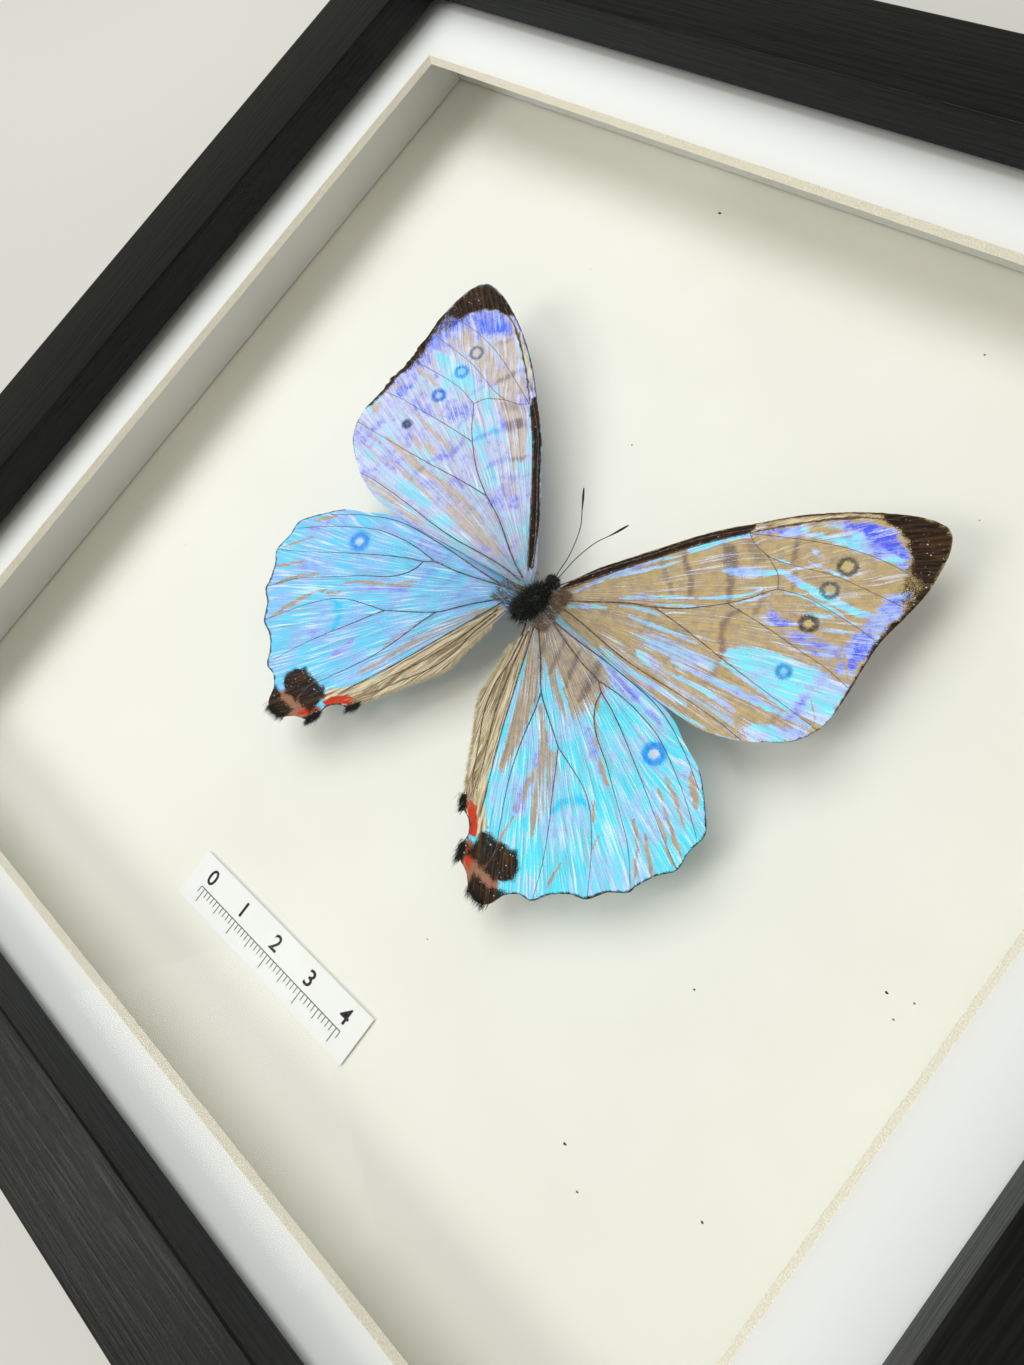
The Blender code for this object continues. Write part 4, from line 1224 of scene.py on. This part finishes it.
# Painted sheen of the left hindwing, with bare brown creases laid as low levels.
SHEEN_HIND_LEFT = (
    (0.35, 1.2, ((6.0, -6.6), (9.0, -12.4), (12.4, -18.6), (15.4, -25.4), (18.6, -31.4))),
    (0.0, 0.3, ((21.0, -12.0), (26.0, -14.6), (31.0, -17.6), (34.0, -20.2))),
    (0.0, 0.45, ((32.5, -21.3), (35.2, -23.4))),
    (0.0, 0.5, ((35.5, -22.5), (38.0, -25.3), (40.0, -29.5), (42.0, -34.5))),
    (0.0, 0.42, ((39.0, -21.0), (43.0, -24.3), (46.0, -28.4))),
    (0.05, 0.3, ((46.0, -16.0), (50.2, -21.4))),
    (0.1, 0.3, ((44.0, -21.0), (48.6, -25.4))),
    (0.1, 0.3, ((20.5, -10.5), (24.0, -13.0))),
    (0.2, 0.24, ((14.0, -14.5), (16.6, -21.0), (18.4, -27.0))),
    (0.15, 0.4, ((44.5, -9.6), (48.4, -13.2))),
)
HUE_HIND_LEFT = (
    (0.85, 1.0, ((23.6, -27.0), (25.6, -33.6))),
    (0.75, 0.7, ((21.0, -13.0), (27.0, -16.6), (33.0, -20.4))),
    (0.7, 1.8, ((31.5, -31.0), (35.0, -33.0), (31.0, -38.0))),
    (0.65, 1.2, ((41.0, -20.0), (44.5, -23.0))),
    (0.6, 1.0, ((14.0, -2.4), (24.0, -3.8), (34.0, -6.0))),
    (0.6, 0.9, ((45.0, -11.0), (48.5, -17.0))),
    (0.0, 1.4, ((18.8, -5.0), (19.4, -15.0), (21.0, -26.0))),
    (0.0, 1.0, ((27.0, -2.0), (27.0, -9.0))),
)
print("hindwing strokes:", len(SHEEN_HIND_RIGHT) + len(SHEEN_HIND_LEFT))

# %% [markdown]
# ## Wing finish
# Wing scales are tiny tiles that reflect blue by their structure, so the colour is pearly: cyan, pale or violet
# by the angle of the scales, white on the sharpest creases, and the bare brown membrane elsewhere. Here that
# play of angle is painted into the colour: the pearl is painted sheen and the white on the creases is painted
# highlight. The finish reads the stored levels, breaks their edges up with streaks and single scales, and lays
# these colours in order. Ring spots are drawn by distance from their centres, which keeps them sharp.

# %% Colours of the two kinds of pearl
BAR_INK = ink(96, 74, 66)
SOOT_INK = ink(24, 14, 8)
SOOT_LIGHT = ink(74, 48, 26)
CREAM_INK = ink(232, 217, 182)
CREAM_DARK = ink(136, 104, 68)
CLAY_INK = ink(158, 112, 88)
RED_INK = ink(202, 58, 32)
# White of the painted highlights, also used for the small white flecks in the dark tip.
GLINT_AND_FLECK_WHITE = ink(238, 243, 255)


def ring_spots(finish, colour, flat_place, spots):
    """Lay round spots over a colour: (u, v, ring radius, ring half width, ring ink, centre ink)."""
    for u, v, radius, half, ring_ink, centre_ink in spots:
        feeds = {0: flat_place, 1: (u, v, 0.0)}
        away = finish.node("VectorMath", {"operation": "DISTANCE"}, feeds, out="Value")
        away = away + (grain(finish, flat_place, 0.4, 2.0) - 0.5) * 1.1
        off_ring = finish.node("Math", {"operation": "ABSOLUTE"}, {0: away - radius})
        worn = grain(finish, flat_place, 0.9, 1.0) * 0.5 + 0.65
        colour = blend(finish, worn * (1 - step(finish, half * 0.15, half * 1.15, off_ring)), colour, ring_ink)
        if centre_ink:
            middle = 1 - step(finish, radius * 0.35, radius * 0.7, away)
            colour = blend(finish, 0.92 * middle, colour, centre_ink)
    return colour


def wing_finish(name, ground_inks, pearl_inks, streak_pull, spots, hind):
    """The finish of one wing; the levels come from the mesh."""
    made = Finish(name)
    flat_place = made.node("Attribute", {"attribute_name": "flat"}, out="Vector")
    fan, along = mark(made, "fan"), mark(made, "along")
    streak_place = made.node("CombineXYZ", None, {0: fan * 8.0, 1: along * 0.075, 2: 0.0})
    fine_place = made.node("CombineXYZ", None, {0: fan * 19.0, 1: along * 0.14, 2: 3.0})
    streak = step(made, 0.33, 0.67, grain(made, streak_place, 1.0, 2.0, 0.5))
    hairline = step(made, 0.34, 0.66, grain(made, fine_place, 1.0, 1.0, 0.5))
    scales = step(made, 0.3, 0.7, grain(made, flat_place, 0.17, 2.0, 0.7))
    mottle = step(made, 0.34, 0.66, grain(made, flat_place, 1.6, 4.0, 0.65))
    # Pale flecks of painted sheen over the ground.
    sheen_speckle = step(made, 0.5, 0.85, scales * 0.65 + mottle * 0.35)
    drift = step(made, 0.32, 0.68, grain(made, flat_place, 8.0, 2.0))
    # A painted highlight: white along the sharpest creases and single scales.
    glint = step(made, 0.6, 0.88, hairline * 0.5 + scales * 0.35 + streak * 0.15)
    cyan, pale, violet = pearl_inks

    bars = mark(made, "bars")
    ground = blend(made, mottle * 0.55 + streak * 0.45, *ground_inks)
    ground = blend(made, bars * 0.7, ground, BAR_INK)
    pull = (streak - 0.5) * streak_pull + (hairline - 0.5) * (streak_pull * 0.6) + (scales - 0.5) * 0.42
    # The stored sheen level, broken up by streaks and scales: where painted sheen covers the ground.
    sheen = mark(made, "sheen") + pull
    hue = mark(made, "hue") + (mottle - 0.5) * 0.3 + (hairline - 0.5) * 0.5 + (scales - 0.5) * 0.5
    hue = hue + (drift - 0.5) * 0.55
    # The painted sheen's colour: cyan, pale or violet by the stored hue.
    pearl = blend(made, step(made, 0.05, 0.55, hue), cyan, pale)
    pearl = blend(made, step(made, 0.55, 1.0, hue), pearl, violet)
    pearl = blend(made, bars * 0.45, pearl, violet)
    if hind:
        # A bright cyan stripe of painted sheen on the hindwings.
        pearl = blend(made, mark(made, "glow") * 0.85, pearl, ink(8, 204, 255))
    # Pale painted sheen where the sheen level begins, then the full painted sheen over it.
    colour = blend(made, step(made, 0.25, 0.5, sheen) * 0.45 + sheen_speckle * 0.16, ground, pale)
    colour = blend(made, step(made, 0.38, 0.62, sheen), colour, pearl)
    # The painted highlight in white, stronger over the sheen.
    colour = blend(made, glint * (0.35 + 0.5 * step(made, 0.3, 0.62, sheen)), colour, GLINT_AND_FLECK_WHITE)
    colour = ring_spots(made, colour, flat_place, spots)
    cream = step(made, 0.3, 0.7, mark(made, "cream") + (hairline - 0.5) * 0.3)
    cream_tone = blend(made, step(made, 0.3, 0.8, streak * 0.6 + hairline * 0.4), CREAM_INK, CREAM_DARK)
    colour = blend(made, cream * 0.95, colour, cream_tone)
    if hind:
        colour = blend(made, step(made, 0.4, 0.6, mark(made, "clay") + (scales - 0.5) * 0.7), colour, CLAY_INK)
        colour = blend(made, step(made, 0.4, 0.6, mark(made, "red") + (scales - 0.5) * 0.4), colour, RED_INK)
    soot = step(made, 0.35, 0.65, mark(made, "soot") + (scales - 0.5) * 0.8 + (mottle - 0.5) * 0.3)
    soot_tone = blend(made, step(made, 0.3, 1.0, hairline * 0.6 + mottle * 0.4), SOOT_INK, SOOT_LIGHT)
    colour = blend(made, soot, colour, soot_tone)
    # Small white flecks in the dark tip and margins.
    white_flecks = step(made, 0.7, 0.76, grain(made, flat_place, 0.5, 1.0)) * soot
    colour = blend(made, white_flecks * 0.85, colour, GLINT_AND_FLECK_WHITE)
    # Lighter at random scale by scale, and lighter on the raised streaks of the bump, which is painted light.
    colour = shade(made, colour, scales * 0.2 + streak * 0.12 + 0.97)
    bright = step(made, 0.5, 0.7, sheen) * (1 - soot)
    relief = bump(made, streak * 1.6 + hairline * 0.9 + scales * 0.25, 0.09)
    made.surface(base_color=colour, roughness=0.56 - bright * 0.22, normal=relief)
    made.surface(specular_ior_level=0.3)
    return made


SPOTS_FORE_RIGHT = (
    (42.9, 34.3, 1.35, 0.6, ink(84, 84, 66), ink(204, 180, 118)),
    (43.0, 29.3, 1.25, 0.55, ink(78, 92, 98), ink(190, 178, 134)),
    (43.6, 22.6, 1.2, 0.75, ink(72, 62, 64), ink(206, 184, 116)),
    (45.2, 13.6, 0.95, 0.7, ink(52, 150, 232), ink(140, 214, 255)),
)
SPOTS_FORE_LEFT = (
    (43.0, 34.3, 1.25, 0.5, ink(104, 116, 146), ink(206, 198, 198)),
    (42.9, 29.3, 1.15, 0.6, ink(52, 150, 236), ink(136, 214, 255)),
    (43.6, 22.6, 1.1, 0.75, ink(66, 108, 226), ink(176, 200, 245)),
    (45.2, 14.0, 0.55, 0.85, ink(46, 64, 122), None),
)
SPOTS_HIND_RIGHT = ((36.5, -9.8, 1.5, 0.95, ink(30, 148, 250), ink(216, 220, 244)),)
SPOTS_HIND_LEFT = ((36.6, -11.0, 1.5, 1.0, ink(60, 150, 246), ink(200, 216, 246)),)
fore_right = wing_finish("pearl_over_ochre", (ink(208, 182, 126), ink(166, 140, 100)),
                         (ink(128, 236, 255), ink(180, 200, 255), ink(72, 92, 255)), 0.42, SPOTS_FORE_RIGHT, False)
fore_left = wing_finish("lilac_pearl", (ink(214, 200, 186), ink(188, 172, 164)),
                        (ink(140, 226, 255), ink(208, 206, 244), ink(66, 112, 255)), 0.42, SPOTS_FORE_LEFT, False)
hind_right = wing_finish("cyan_pearl", (ink(198, 176, 142), ink(158, 136, 124)),
                         (ink(84, 228, 255), ink(164, 214, 255), ink(118, 132, 252)), 0.45, SPOTS_HIND_RIGHT, True)
hind_left = wing_finish("sky_pearl", (ink(194, 172, 142), ink(162, 142, 126)),
                        (ink(104, 212, 255), ink(150, 196, 255), ink(132, 148, 252)), 0.42, SPOTS_HIND_LEFT, True)
print("four wing finishes")

# %% [markdown]
# ## Building the wings
# Every wing runs through the same steps: outline, triangles, height, levels. Only the lists differ. The levels
# are stored on the top and underside alike, since the scales cover both.


# %% Build one wing
def add_wing(node, outline, roots, veins, lift, side, crease, seed, levels, finish, frayed=None):
    edge = smooth_line([roots[0], *outline, roots[1]], TRIANGLE_SIDE * 0.8, closed=True)
    flat, faces = fill_outline(ragged(edge, 0.07, frayed), TRIANGLE_SIDE)
    height, fan, along = membrane_height(flat, veins, lift, crease, seed)
    if faces.size and np.cross(flat[faces[0][1]] - flat[faces[0][0]], flat[faces[0][2]] - flat[faces[0][0]]) < 0:
        faces = faces[:, ::-1]
    if side < 0:
        faces = faces[:, ::-1]
    points = np.vstack([on_wing(flat, height, side), on_wing(flat, height - WING_THICK, side)])
    wing = new_object(node + "_scaled", points, closed_sheet(faces, len(flat)), finish.material)
    smooth_by_angle(wing, 60)
    shaken = np.column_stack([noise_at(flat / 1.1, seed + 21), noise_at(flat / 1.1, seed + 33)]) * 0.35
    for name, (ground, strokes) in levels.items():
        store(wing, name, np.tile(paint(flat, ground, strokes, shaken), 2))
    store(wing, "fan", np.tile(fan, 2))
    store(wing, "along", np.tile(along, 2))
    layer = wing.data.attributes.new("flat", "FLOAT_VECTOR", "POINT")
    places = np.tile(np.column_stack([flat, np.zeros(len(flat))]), (2, 1))
    layer.data.foreach_set("vector", places.astype(np.float32).ravel())
    return finish_piece(wing, "wing_scales", node)


FORE_LIFT = 0.45
HIND_LIFT = -0.15
ROOT_U = {1: 3.6, -1: 2.0}
wings = {}
for label, side, sheen, hue, soot, base, tint, finish, crease, frayed in (
    ("right", 1, SHEEN_FORE_RIGHT, HUE_FORE_RIGHT, SOOT_FORE, 0.12, 0.36, fore_right, 1.25, None),
    ("left", -1, SHEEN_FORE_LEFT, HUE_FORE_LEFT, SOOT_FORE_WORN, 0.72, 0.5, fore_left, 0.8, (17.5, 31.0)),
):
    levels = {"sheen": (base, sheen), "hue": (tint, hue), "bars": (0, BARS_FORE), "soot": (0, soot),
              "cream": (0, PALE_FORE)}
    roots = ((ROOT_U[side], 4.0), (ROOT_U[side], 1.0))
    wings["fore_" + label] = add_wing("forewing_" + label, FOREWING, roots, VEINS_FORE, FORE_LIFT, side, crease,
                                      2.0 + side, levels, finish, frayed)
for label, side, sheen, hue, base, tint, finish, crease in (
    ("right", 1, SHEEN_HIND_RIGHT, HUE_HIND_RIGHT, 0.82, 0.24, hind_right, 1.0),
    ("left", -1, SHEEN_HIND_LEFT, HUE_HIND_LEFT, 0.86, 0.28, hind_left, 0.8),
):
    levels = {"sheen": (base, sheen), "hue": (tint, hue), "bars": (0, BARS_HIND), "soot": (0, SOOT_HIND),
              "cream": (0, CREAM_HIND), "clay": (0, CLAY_HIND), "red": (0, RED_HIND), "glow": (0, CYAN_SHEEN_HIND)}
    roots = ((ROOT_U[side], -0.8), (ROOT_U[side], -3.4))
    wings["hind_" + label] = add_wing("hindwing_" + label, HINDWING, roots, VEINS_HIND, HIND_LIFT, side, crease,
                                      12.0 + side, levels, finish)
print({name: len(wing.data.polygons) for name, wing in wings.items()}, "faces")

# %% [markdown]
# ## Veins in the round
# Veins stand proud of the membrane as fine tubes that thin towards the margin. They follow the same height as
# the membrane, so each lies in its own ridge. A six sided tube is plenty at a fifth of a millimetre.


# %% Raise the veins
def tubes(paths, radii, sides):
    """Closed tapered tubes along paths of points: one set of points and faces, in the paths' units."""
    points, faces = [], []
    for path, radius in zip(paths, radii):
        path = np.asarray(path, float)
        first = len(points)
        ahead = np.gradient(path, axis=0)
        ahead /= np.linalg.norm(ahead, axis=1)[:, None]
        across = np.cross(ahead, (0.0, 0.0, 1.0))
        across /= np.maximum(np.linalg.norm(across, axis=1), 1e-9)[:, None]
        up = np.cross(across, ahead)
        for i in range(len(path)):
            for s in range(sides):
                angle = s * math.tau / sides
                points.append(path[i] + radius[i] * (math.cos(angle) * across[i] + math.sin(angle) * up[i]))
        for i in range(len(path) - 1):
            for s in range(sides):
                a, b = first + i * sides + s, first + i * sides + (s + 1) % sides
                faces.append((a, b, b + sides, a + sides))
        faces.append(tuple(first + s for s in reversed(range(sides))))
        faces.append(tuple(first + (len(path) - 1) * sides + s for s in range(sides)))
    return points, faces


VEIN_ROOT = 0.17
VEIN_TIP = 0.05
vein_skin = Finish("brown_vein")
vein_grain = grain(vein_skin, place_mm(vein_skin), 0.5, 3.0)
vein_tone = blend(vein_skin, step(vein_skin, 0.35, 0.7, vein_grain), ink(66, 52, 48), ink(140, 122, 116))
vein_skin.surface(base_color=vein_tone, roughness=0.45, normal=bump(vein_skin, vein_grain, 0.03))


def add_veins(label, veins, lift, side, crease, seed):
    paths, radii = [], []
    for order, (_, _, path) in enumerate(veins):
        flat = smooth_line(path, 0.45)
        height, _, along = membrane_height(flat, veins, lift, crease, seed)
        radius = VEIN_TIP + (VEIN_ROOT - VEIN_TIP) * np.clip(1 - along / 46, 0, 1)
        paths.append(on_wing(flat, height + radius * 0.25, side) / MM)
        radii.append(radius)
    points, faces = tubes(paths, radii, 6)
    veined = new_object("veins_" + label, np.array(points) * MM, faces, vein_skin.material)
    smooth_by_angle(veined, 80)
    return finish_piece(veined, "wing_scales")


add_veins("forewing_right", VEINS_FORE, FORE_LIFT, 1, 1.25, 3.0)
add_veins("forewing_left", VEINS_FORE, FORE_LIFT, -1, 0.8, 1.0)
add_veins("hindwing_right", VEINS_HIND, HIND_LIFT, 1, 1.0, 13.0)
add_veins("hindwing_left", VEINS_HIND, HIND_LIFT, -1, 0.8, 11.0)
print("vein radius from", VEIN_ROOT, "to", VEIN_TIP, "mm")

# %% [markdown]
# ## Body
# The thorax is a barrel of muscle under dense fur, with a small head in front; the abdomen is gone. The barrel
# is a ball of points pulled to size and roughened by noise. Fur comes next, as separate hairs, because a bump
# alone leaves the outline too smooth.

# %% Model the thorax and head
THORAX_AT = np.array((0.8, -0.6, 0.3))
THORAX_RADII = np.array((1.9, 3.8, 2.1))
HEAD_AT = np.array((1.9, 4.5, 0.7))
HEAD_RADII = np.array((1.3, 1.0, 1.05))
BODY_LEAN = math.radians(-12)
LEAN = np.array(Matrix.Rotation(BODY_LEAN, 3, "Z"))


def ball(centre, radii, rings, around, rough, seed):
    """Points and faces of a roughened ball, in millimetres of the specimen's frame."""
    points, faces = [], []
    for ring in range(rings + 1):
        tilt = math.pi * ring / rings
        for i in range(around):
            angle = i * math.tau / around
            out = np.array((math.sin(tilt) * math.cos(angle), math.cos(tilt), math.sin(tilt) * math.sin(angle)))
            swell = 1 + rough * noise.noise(Vector(out * 3) + Vector((seed, 0, 0)))
            points.append(centre + LEAN @ (out * radii * swell))
    for ring in range(rings):
        for i in range(around):
            a, b = ring * around + i, ring * around + (i + 1) % around
            faces.append((a, b, b + around, a + around))
    return points, faces


fur = Finish("black_fur")
# Black hair with paler grey green patches laid at random; the pale patches are painted sheen on the hairs.
fur_tone_and_sheen = blend(fur, step(fur, 0.4, 0.72, grain(fur, place_mm(fur), 0.4, 3.0)), ink(9, 10, 10), ink(84, 92, 84))
fur.surface(base_color=fur_tone_and_sheen, roughness=0.62, specular_ior_level=0.3)
thorax_points, thorax_faces = ball(THORAX_AT, THORAX_RADII, 30, 44, 0.34, 1.0)
head_points, head_faces = ball(HEAD_AT, HEAD_RADII, 20, 30, 0.1, 4.0)
joined_faces = thorax_faces + [tuple(i + len(thorax_points) for i in face) for face in head_faces]
body = new_object("thorax_and_head", posed(thorax_points + head_points), joined_faces, fur.material)
smooth_by_angle(body, 80)
finish_piece(body, "body_hair", "body")
print("thorax", 2 * THORAX_RADII[1], "mm long")

# %% [markdown]
# ## Hair
# A hair is a narrow blade of five points: a foot, a waist and a tip. Thousands of them take little memory as
# one mesh, and unlike a particle system they are plain geometry that goes anywhere. Each bends a little, and
# a fixed seed keeps every run the same.

# %% Grow hair
RANDOM = np.random.default_rng(7)


def blades(feet, directions, lengths, width, bend):
    """Hairs as points and faces, all in millimetres; bend is how far each tip is carried sideways."""
    count = len(feet)
    directions = directions / np.linalg.norm(directions, axis=1)[:, None]
    swing = RANDOM.normal(size=(count, 3))
    sideways = np.cross(directions, swing)
    sideways /= np.linalg.norm(sideways, axis=1)[:, None]
    curve = RANDOM.normal(size=(count, 3)) * bend * lengths[:, None]
    waist = feet + directions * lengths[:, None] * 0.55 + curve * 0.3
    tip = feet + directions * lengths[:, None] + curve
    half = sideways * width / 2
    narrow = half * 0.8
    points = np.stack([feet - half, feet + half, waist + narrow, waist - narrow, tip], axis=1).reshape(-1, 3)
    starts = np.arange(count) * 5
    quads = np.column_stack([starts, starts + 1, starts + 2, starts + 3])
    tips = np.column_stack([starts + 3, starts + 2, starts + 4])
    return points, [tuple(map(int, f)) for f in quads] + [tuple(map(int, f)) for f in tips]


def add_hair(name, feet, directions, lengths, width, bend, finish, slot="body_hair"):
    points, faces = blades(np.asarray(feet), np.asarray(directions), np.asarray(lengths), width, bend)
    hair = new_object(name, posed(points), faces, finish.material)
    return finish_piece(hair, slot)


def ball_hairs(centre, radii, count, rearward):
    """Feet and directions of hairs over a ball, combed back."""
    out = RANDOM.normal(size=(count, 3))
    out /= np.linalg.norm(out, axis=1)[:, None]
    feet = centre + (out * radii * 0.97) @ LEAN.T
    away = (out / radii) @ LEAN.T
    away /= np.linalg.norm(away, axis=1)[:, None]
    return feet, away * 0.8 + np.array((0, -rearward, 0.0)) + RANDOM.normal(size=(count, 3)) * 0.5


feet, away = ball_hairs(THORAX_AT, THORAX_RADII, 5200, 0.35)
add_hair("thorax_fur", feet, away, RANDOM.uniform(0.5, 2.1, len(feet)), 0.1, 0.35, fur)
feet, away = ball_hairs(HEAD_AT, HEAD_RADII, 1500, -0.1)
add_hair("head_fur", feet, away, RANDOM.uniform(0.3, 0.85, len(feet)), 0.06, 0.25, fur)
print("fur: 6700 hairs")

# %% [markdown]
# ## Eyes, feelers and leg
# The eyes are two smooth dark domes at the sides of the head. The feelers are thin rods of many short joints
# that thicken to a club. One hind leg shows, bent at its joint. A tube whose radius changes along its path
# makes all three limbs, and a small ripple in the radius shows the joints.

# %% Add the eyes
EYE_RADII = np.array((0.5, 0.62, 0.6))
eye_skin = Finish("dark_eye")
facets = eye_skin.node("TexVoronoi", None, {"Vector": place_mm(eye_skin), "Scale": 14.0})
eye_tone = blend(eye_skin, facets, ink(24, 20, 18), ink(66, 54, 46))
eye_skin.surface(base_color=eye_tone, roughness=0.22, normal=bump(eye_skin, facets, 0.02))
eye_points, eye_faces = [], []
for across_head in (-1.0, 1.0):
    points, faces = ball(HEAD_AT + LEAN @ np.array((across_head, 0.25, 0.25)), EYE_RADII, 16, 24, 0.0, 0.0)
    eye_faces += [tuple(i + len(eye_points) for i in face) for face in faces]
    eye_points += points
eyes = new_object("eyes", posed(eye_points), eye_faces, eye_skin.material)
smooth_by_angle(eyes, 80)
finish_piece(eyes, "body_hair")
print("eyes 2")

# %% Add the feelers and the leg
ANTENNA_LEFT = (
    (2.0, 5.6, 1.4), (1.9, 6.6, 1.7), (1.7, 10.3, 2.2), (0.4, 15.1, 2.8), (-1.7, 18.5, 3.2), (-3.9, 21.8, 3.5),
)
ANTENNA_RIGHT = (
    (2.5, 5.6, 1.4), (2.7, 6.6, 1.7), (3.2, 10.3, 2.2), (4.5, 14.4, 2.8), (6.3, 17.4, 3.2), (7.8, 20.3, 3.5),
)
LEG = ((1.9, -4.4, -1.2), (2.1, -5.6, -1.9), (2.5, -7.6, -2.2), (2.3, -8.4, -2.3), (1.4, -9.6, -2.8))
horn = two_tone("dark_horn", 0.3, ink(20, 18, 18), ink(48, 42, 38), 0.45, 3.0)
leg_skin = two_tone("brown_leg", 0.4, ink(58, 42, 24), ink(104, 80, 46), 0.5, 3.0)
JOINT_RIPPLE = 0.12  # how much the radius swells at each small joint, as a share of it
JOINT_RATE = 1.6
LIMB_SIDES = 10
LIMB_STEP = 0.12


def add_limb(node, path, shape, finish):
    """A jointed limb; shape gives its radius in millimetres from the share of the way along."""
    line = smooth_line(path, LIMB_STEP)
    share = np.linspace(0, 1, len(line))
    ripple = 1 + JOINT_RIPPLE * np.sin(np.arange(len(line)) * JOINT_RATE)
    points, faces = tubes([line], [shape(share) * ripple], LIMB_SIDES)
    limb = new_object(node + "_jointed", posed(points), faces, finish.material)
    smooth_by_angle(limb, 60)
    return finish_piece(limb, "body_hair", node)


def feeler_radius(share):
    return 0.085 + 0.13 * np.clip((share - 0.74) / 0.14, 0, 1) * np.clip((1.03 - share) / 0.1, 0, 1)


def leg_radius(share):
    return 0.2 - 0.09 * share + 0.05 * np.exp(-((share - 0.6) / 0.06) ** 2)


add_limb("antenna_left", ANTENNA_LEFT, feeler_radius, horn)
add_limb("antenna_right", ANTENNA_RIGHT, feeler_radius, horn)
add_limb("hind_leg", LEG, leg_radius, leg_skin)
for label, path in (("left", ANTENNA_LEFT), ("right", ANTENNA_RIGHT)):
    print(label, "feeler", round(sum(math.dist(a, b) for a, b in zip(path, path[1:])), 1), "mm long")

# %% [markdown]
# ## Hair on the wings
# The hindwing's fold is fringed with pale silk, its hind corner carries three black tufts, and brown down
# covers the wing roots. The feet of these hairs are taken from the outlines and the membrane's height, so the
# hairs grow from the wing and not beside it.

# %% Fringe the wings
silk = two_tone("pale_silk", 1.2, ink(196, 176, 128), ink(232, 220, 186), 0.5)
down = two_tone("brown_down", 0.8, ink(74, 58, 46), ink(136, 114, 92), 0.6)
tuft = two_tone("black_tuft", 0.6, ink(16, 13, 12), ink(50, 40, 34), 0.6)


def wing_hairs(flat, heading, veins, lift, side, crease, seed, rise):
    """Feet and directions in the specimen's frame for hairs that leave the wing at flat along heading."""
    height = membrane_height(flat, veins, lift, crease, seed)[0]
    u, v = flat[:, 0], flat[:, 1]
    feet = np.column_stack([side * (u * math.cos(WING_RISE)), v, height + u * math.sin(WING_RISE)])
    ways = np.column_stack([side * heading[:, 0], heading[:, 1], np.full(len(flat), rise)])
    return feet, ways + RANDOM.normal(size=ways.shape) * 0.14


def along_path(path, count, spread):
    line = smooth_line(path, 0.2)
    picked = RANDOM.integers(0, len(line) - 1, count)
    ahead = line[picked + 1] - line[picked]
    ahead /= np.linalg.norm(ahead, axis=1)[:, None]
    return line[picked] + RANDOM.normal(size=(count, 2)) * spread, ahead


INNER_MARGIN = ((3.0, -8.5), (4.1, -16.7), (4.9, -20.9), (8.9, -27.1), (11.5, -31.5), (14.0, -35.0))
FOLD = ((4.6, -7.0), (6.6, -15.0), (9.0, -22.0), (13.0, -29.5), (16.6, -35.5))
FRINGE_HAIRS = 1500
SILK_HAIRS = 900
TUFT_HAIRS = 420  # in each of the three tufts
DOWN_HAIRS = 1300
TUFTS = (((14.0, -35.6), (15.6, -37.6)), ((19.4, -42.0), (20.8, -44.6)), ((25.4, -47.0), (29.6, -47.2)))
for label, side, crease, seed in (("right", 1, 1.0, 13.0), ("left", -1, 0.8, 11.0)):
    flat, ahead = along_path(INNER_MARGIN, FRINGE_HAIRS, 0.12)
    heading = ahead * 0.8 + np.column_stack([ahead[:, 1], -ahead[:, 0]]) * 0.75
    feet, ways = wing_hairs(flat, heading, VEINS_HIND, HIND_LIFT, side, crease, seed, 0.05)
    add_hair("fold_fringe_" + label, feet, ways, RANDOM.uniform(0.5, 1.3, len(feet)), 0.06, 0.12, silk)
    flat, ahead = along_path(FOLD, SILK_HAIRS, 0.9)
    feet, ways = wing_hairs(flat, ahead, VEINS_HIND, HIND_LIFT, side, crease, seed, 0.1)
    add_hair("fold_silk_" + label, feet, ways, RANDOM.uniform(1.0, 2.4, len(feet)), 0.05, 0.05, silk)
    points, faces = [], []
    for path in TUFTS:
        flat, ahead = along_path(path, TUFT_HAIRS, 0.3)
        heading = np.tile((-0.25, -1.0), (len(flat), 1)) + ahead * 0.4
        feet, ways = wing_hairs(flat, heading, VEINS_HIND, HIND_LIFT, side, crease, seed, 0.0)
        more, tris = blades(feet, ways, RANDOM.uniform(0.6, 2.0, len(feet)), 0.07, 0.1)
        faces += [tuple(i + len(points) for i in f) for f in tris]
        points += list(more)
    finish_piece(new_object("corner_tufts_" + label, posed(points), faces, tuft.material), "body_hair")
    root_u = RANDOM.uniform(ROOT_U[side] - 0.6, 6.4, DOWN_HAIRS)
    root = np.column_stack([root_u, RANDOM.uniform(-4.4, 4.6, DOWN_HAIRS)])
    heading = np.tile((1.0, 0.1), (len(root), 1)) + RANDOM.normal(size=(len(root), 2)) * 0.2
    lift = np.where(root[:, 1] > 0.2, FORE_LIFT, HIND_LIFT)
    feet, ways = wing_hairs(root, heading, VEINS_FORE, 0.0, side, 0.0, seed, 0.2)
    feet[:, 2] += lift
    add_hair("root_down_" + label, feet, ways, RANDOM.uniform(0.5, 1.4, len(feet)), 0.06, 0.15, down)
print("fringes, silk, tufts and down on both sides")
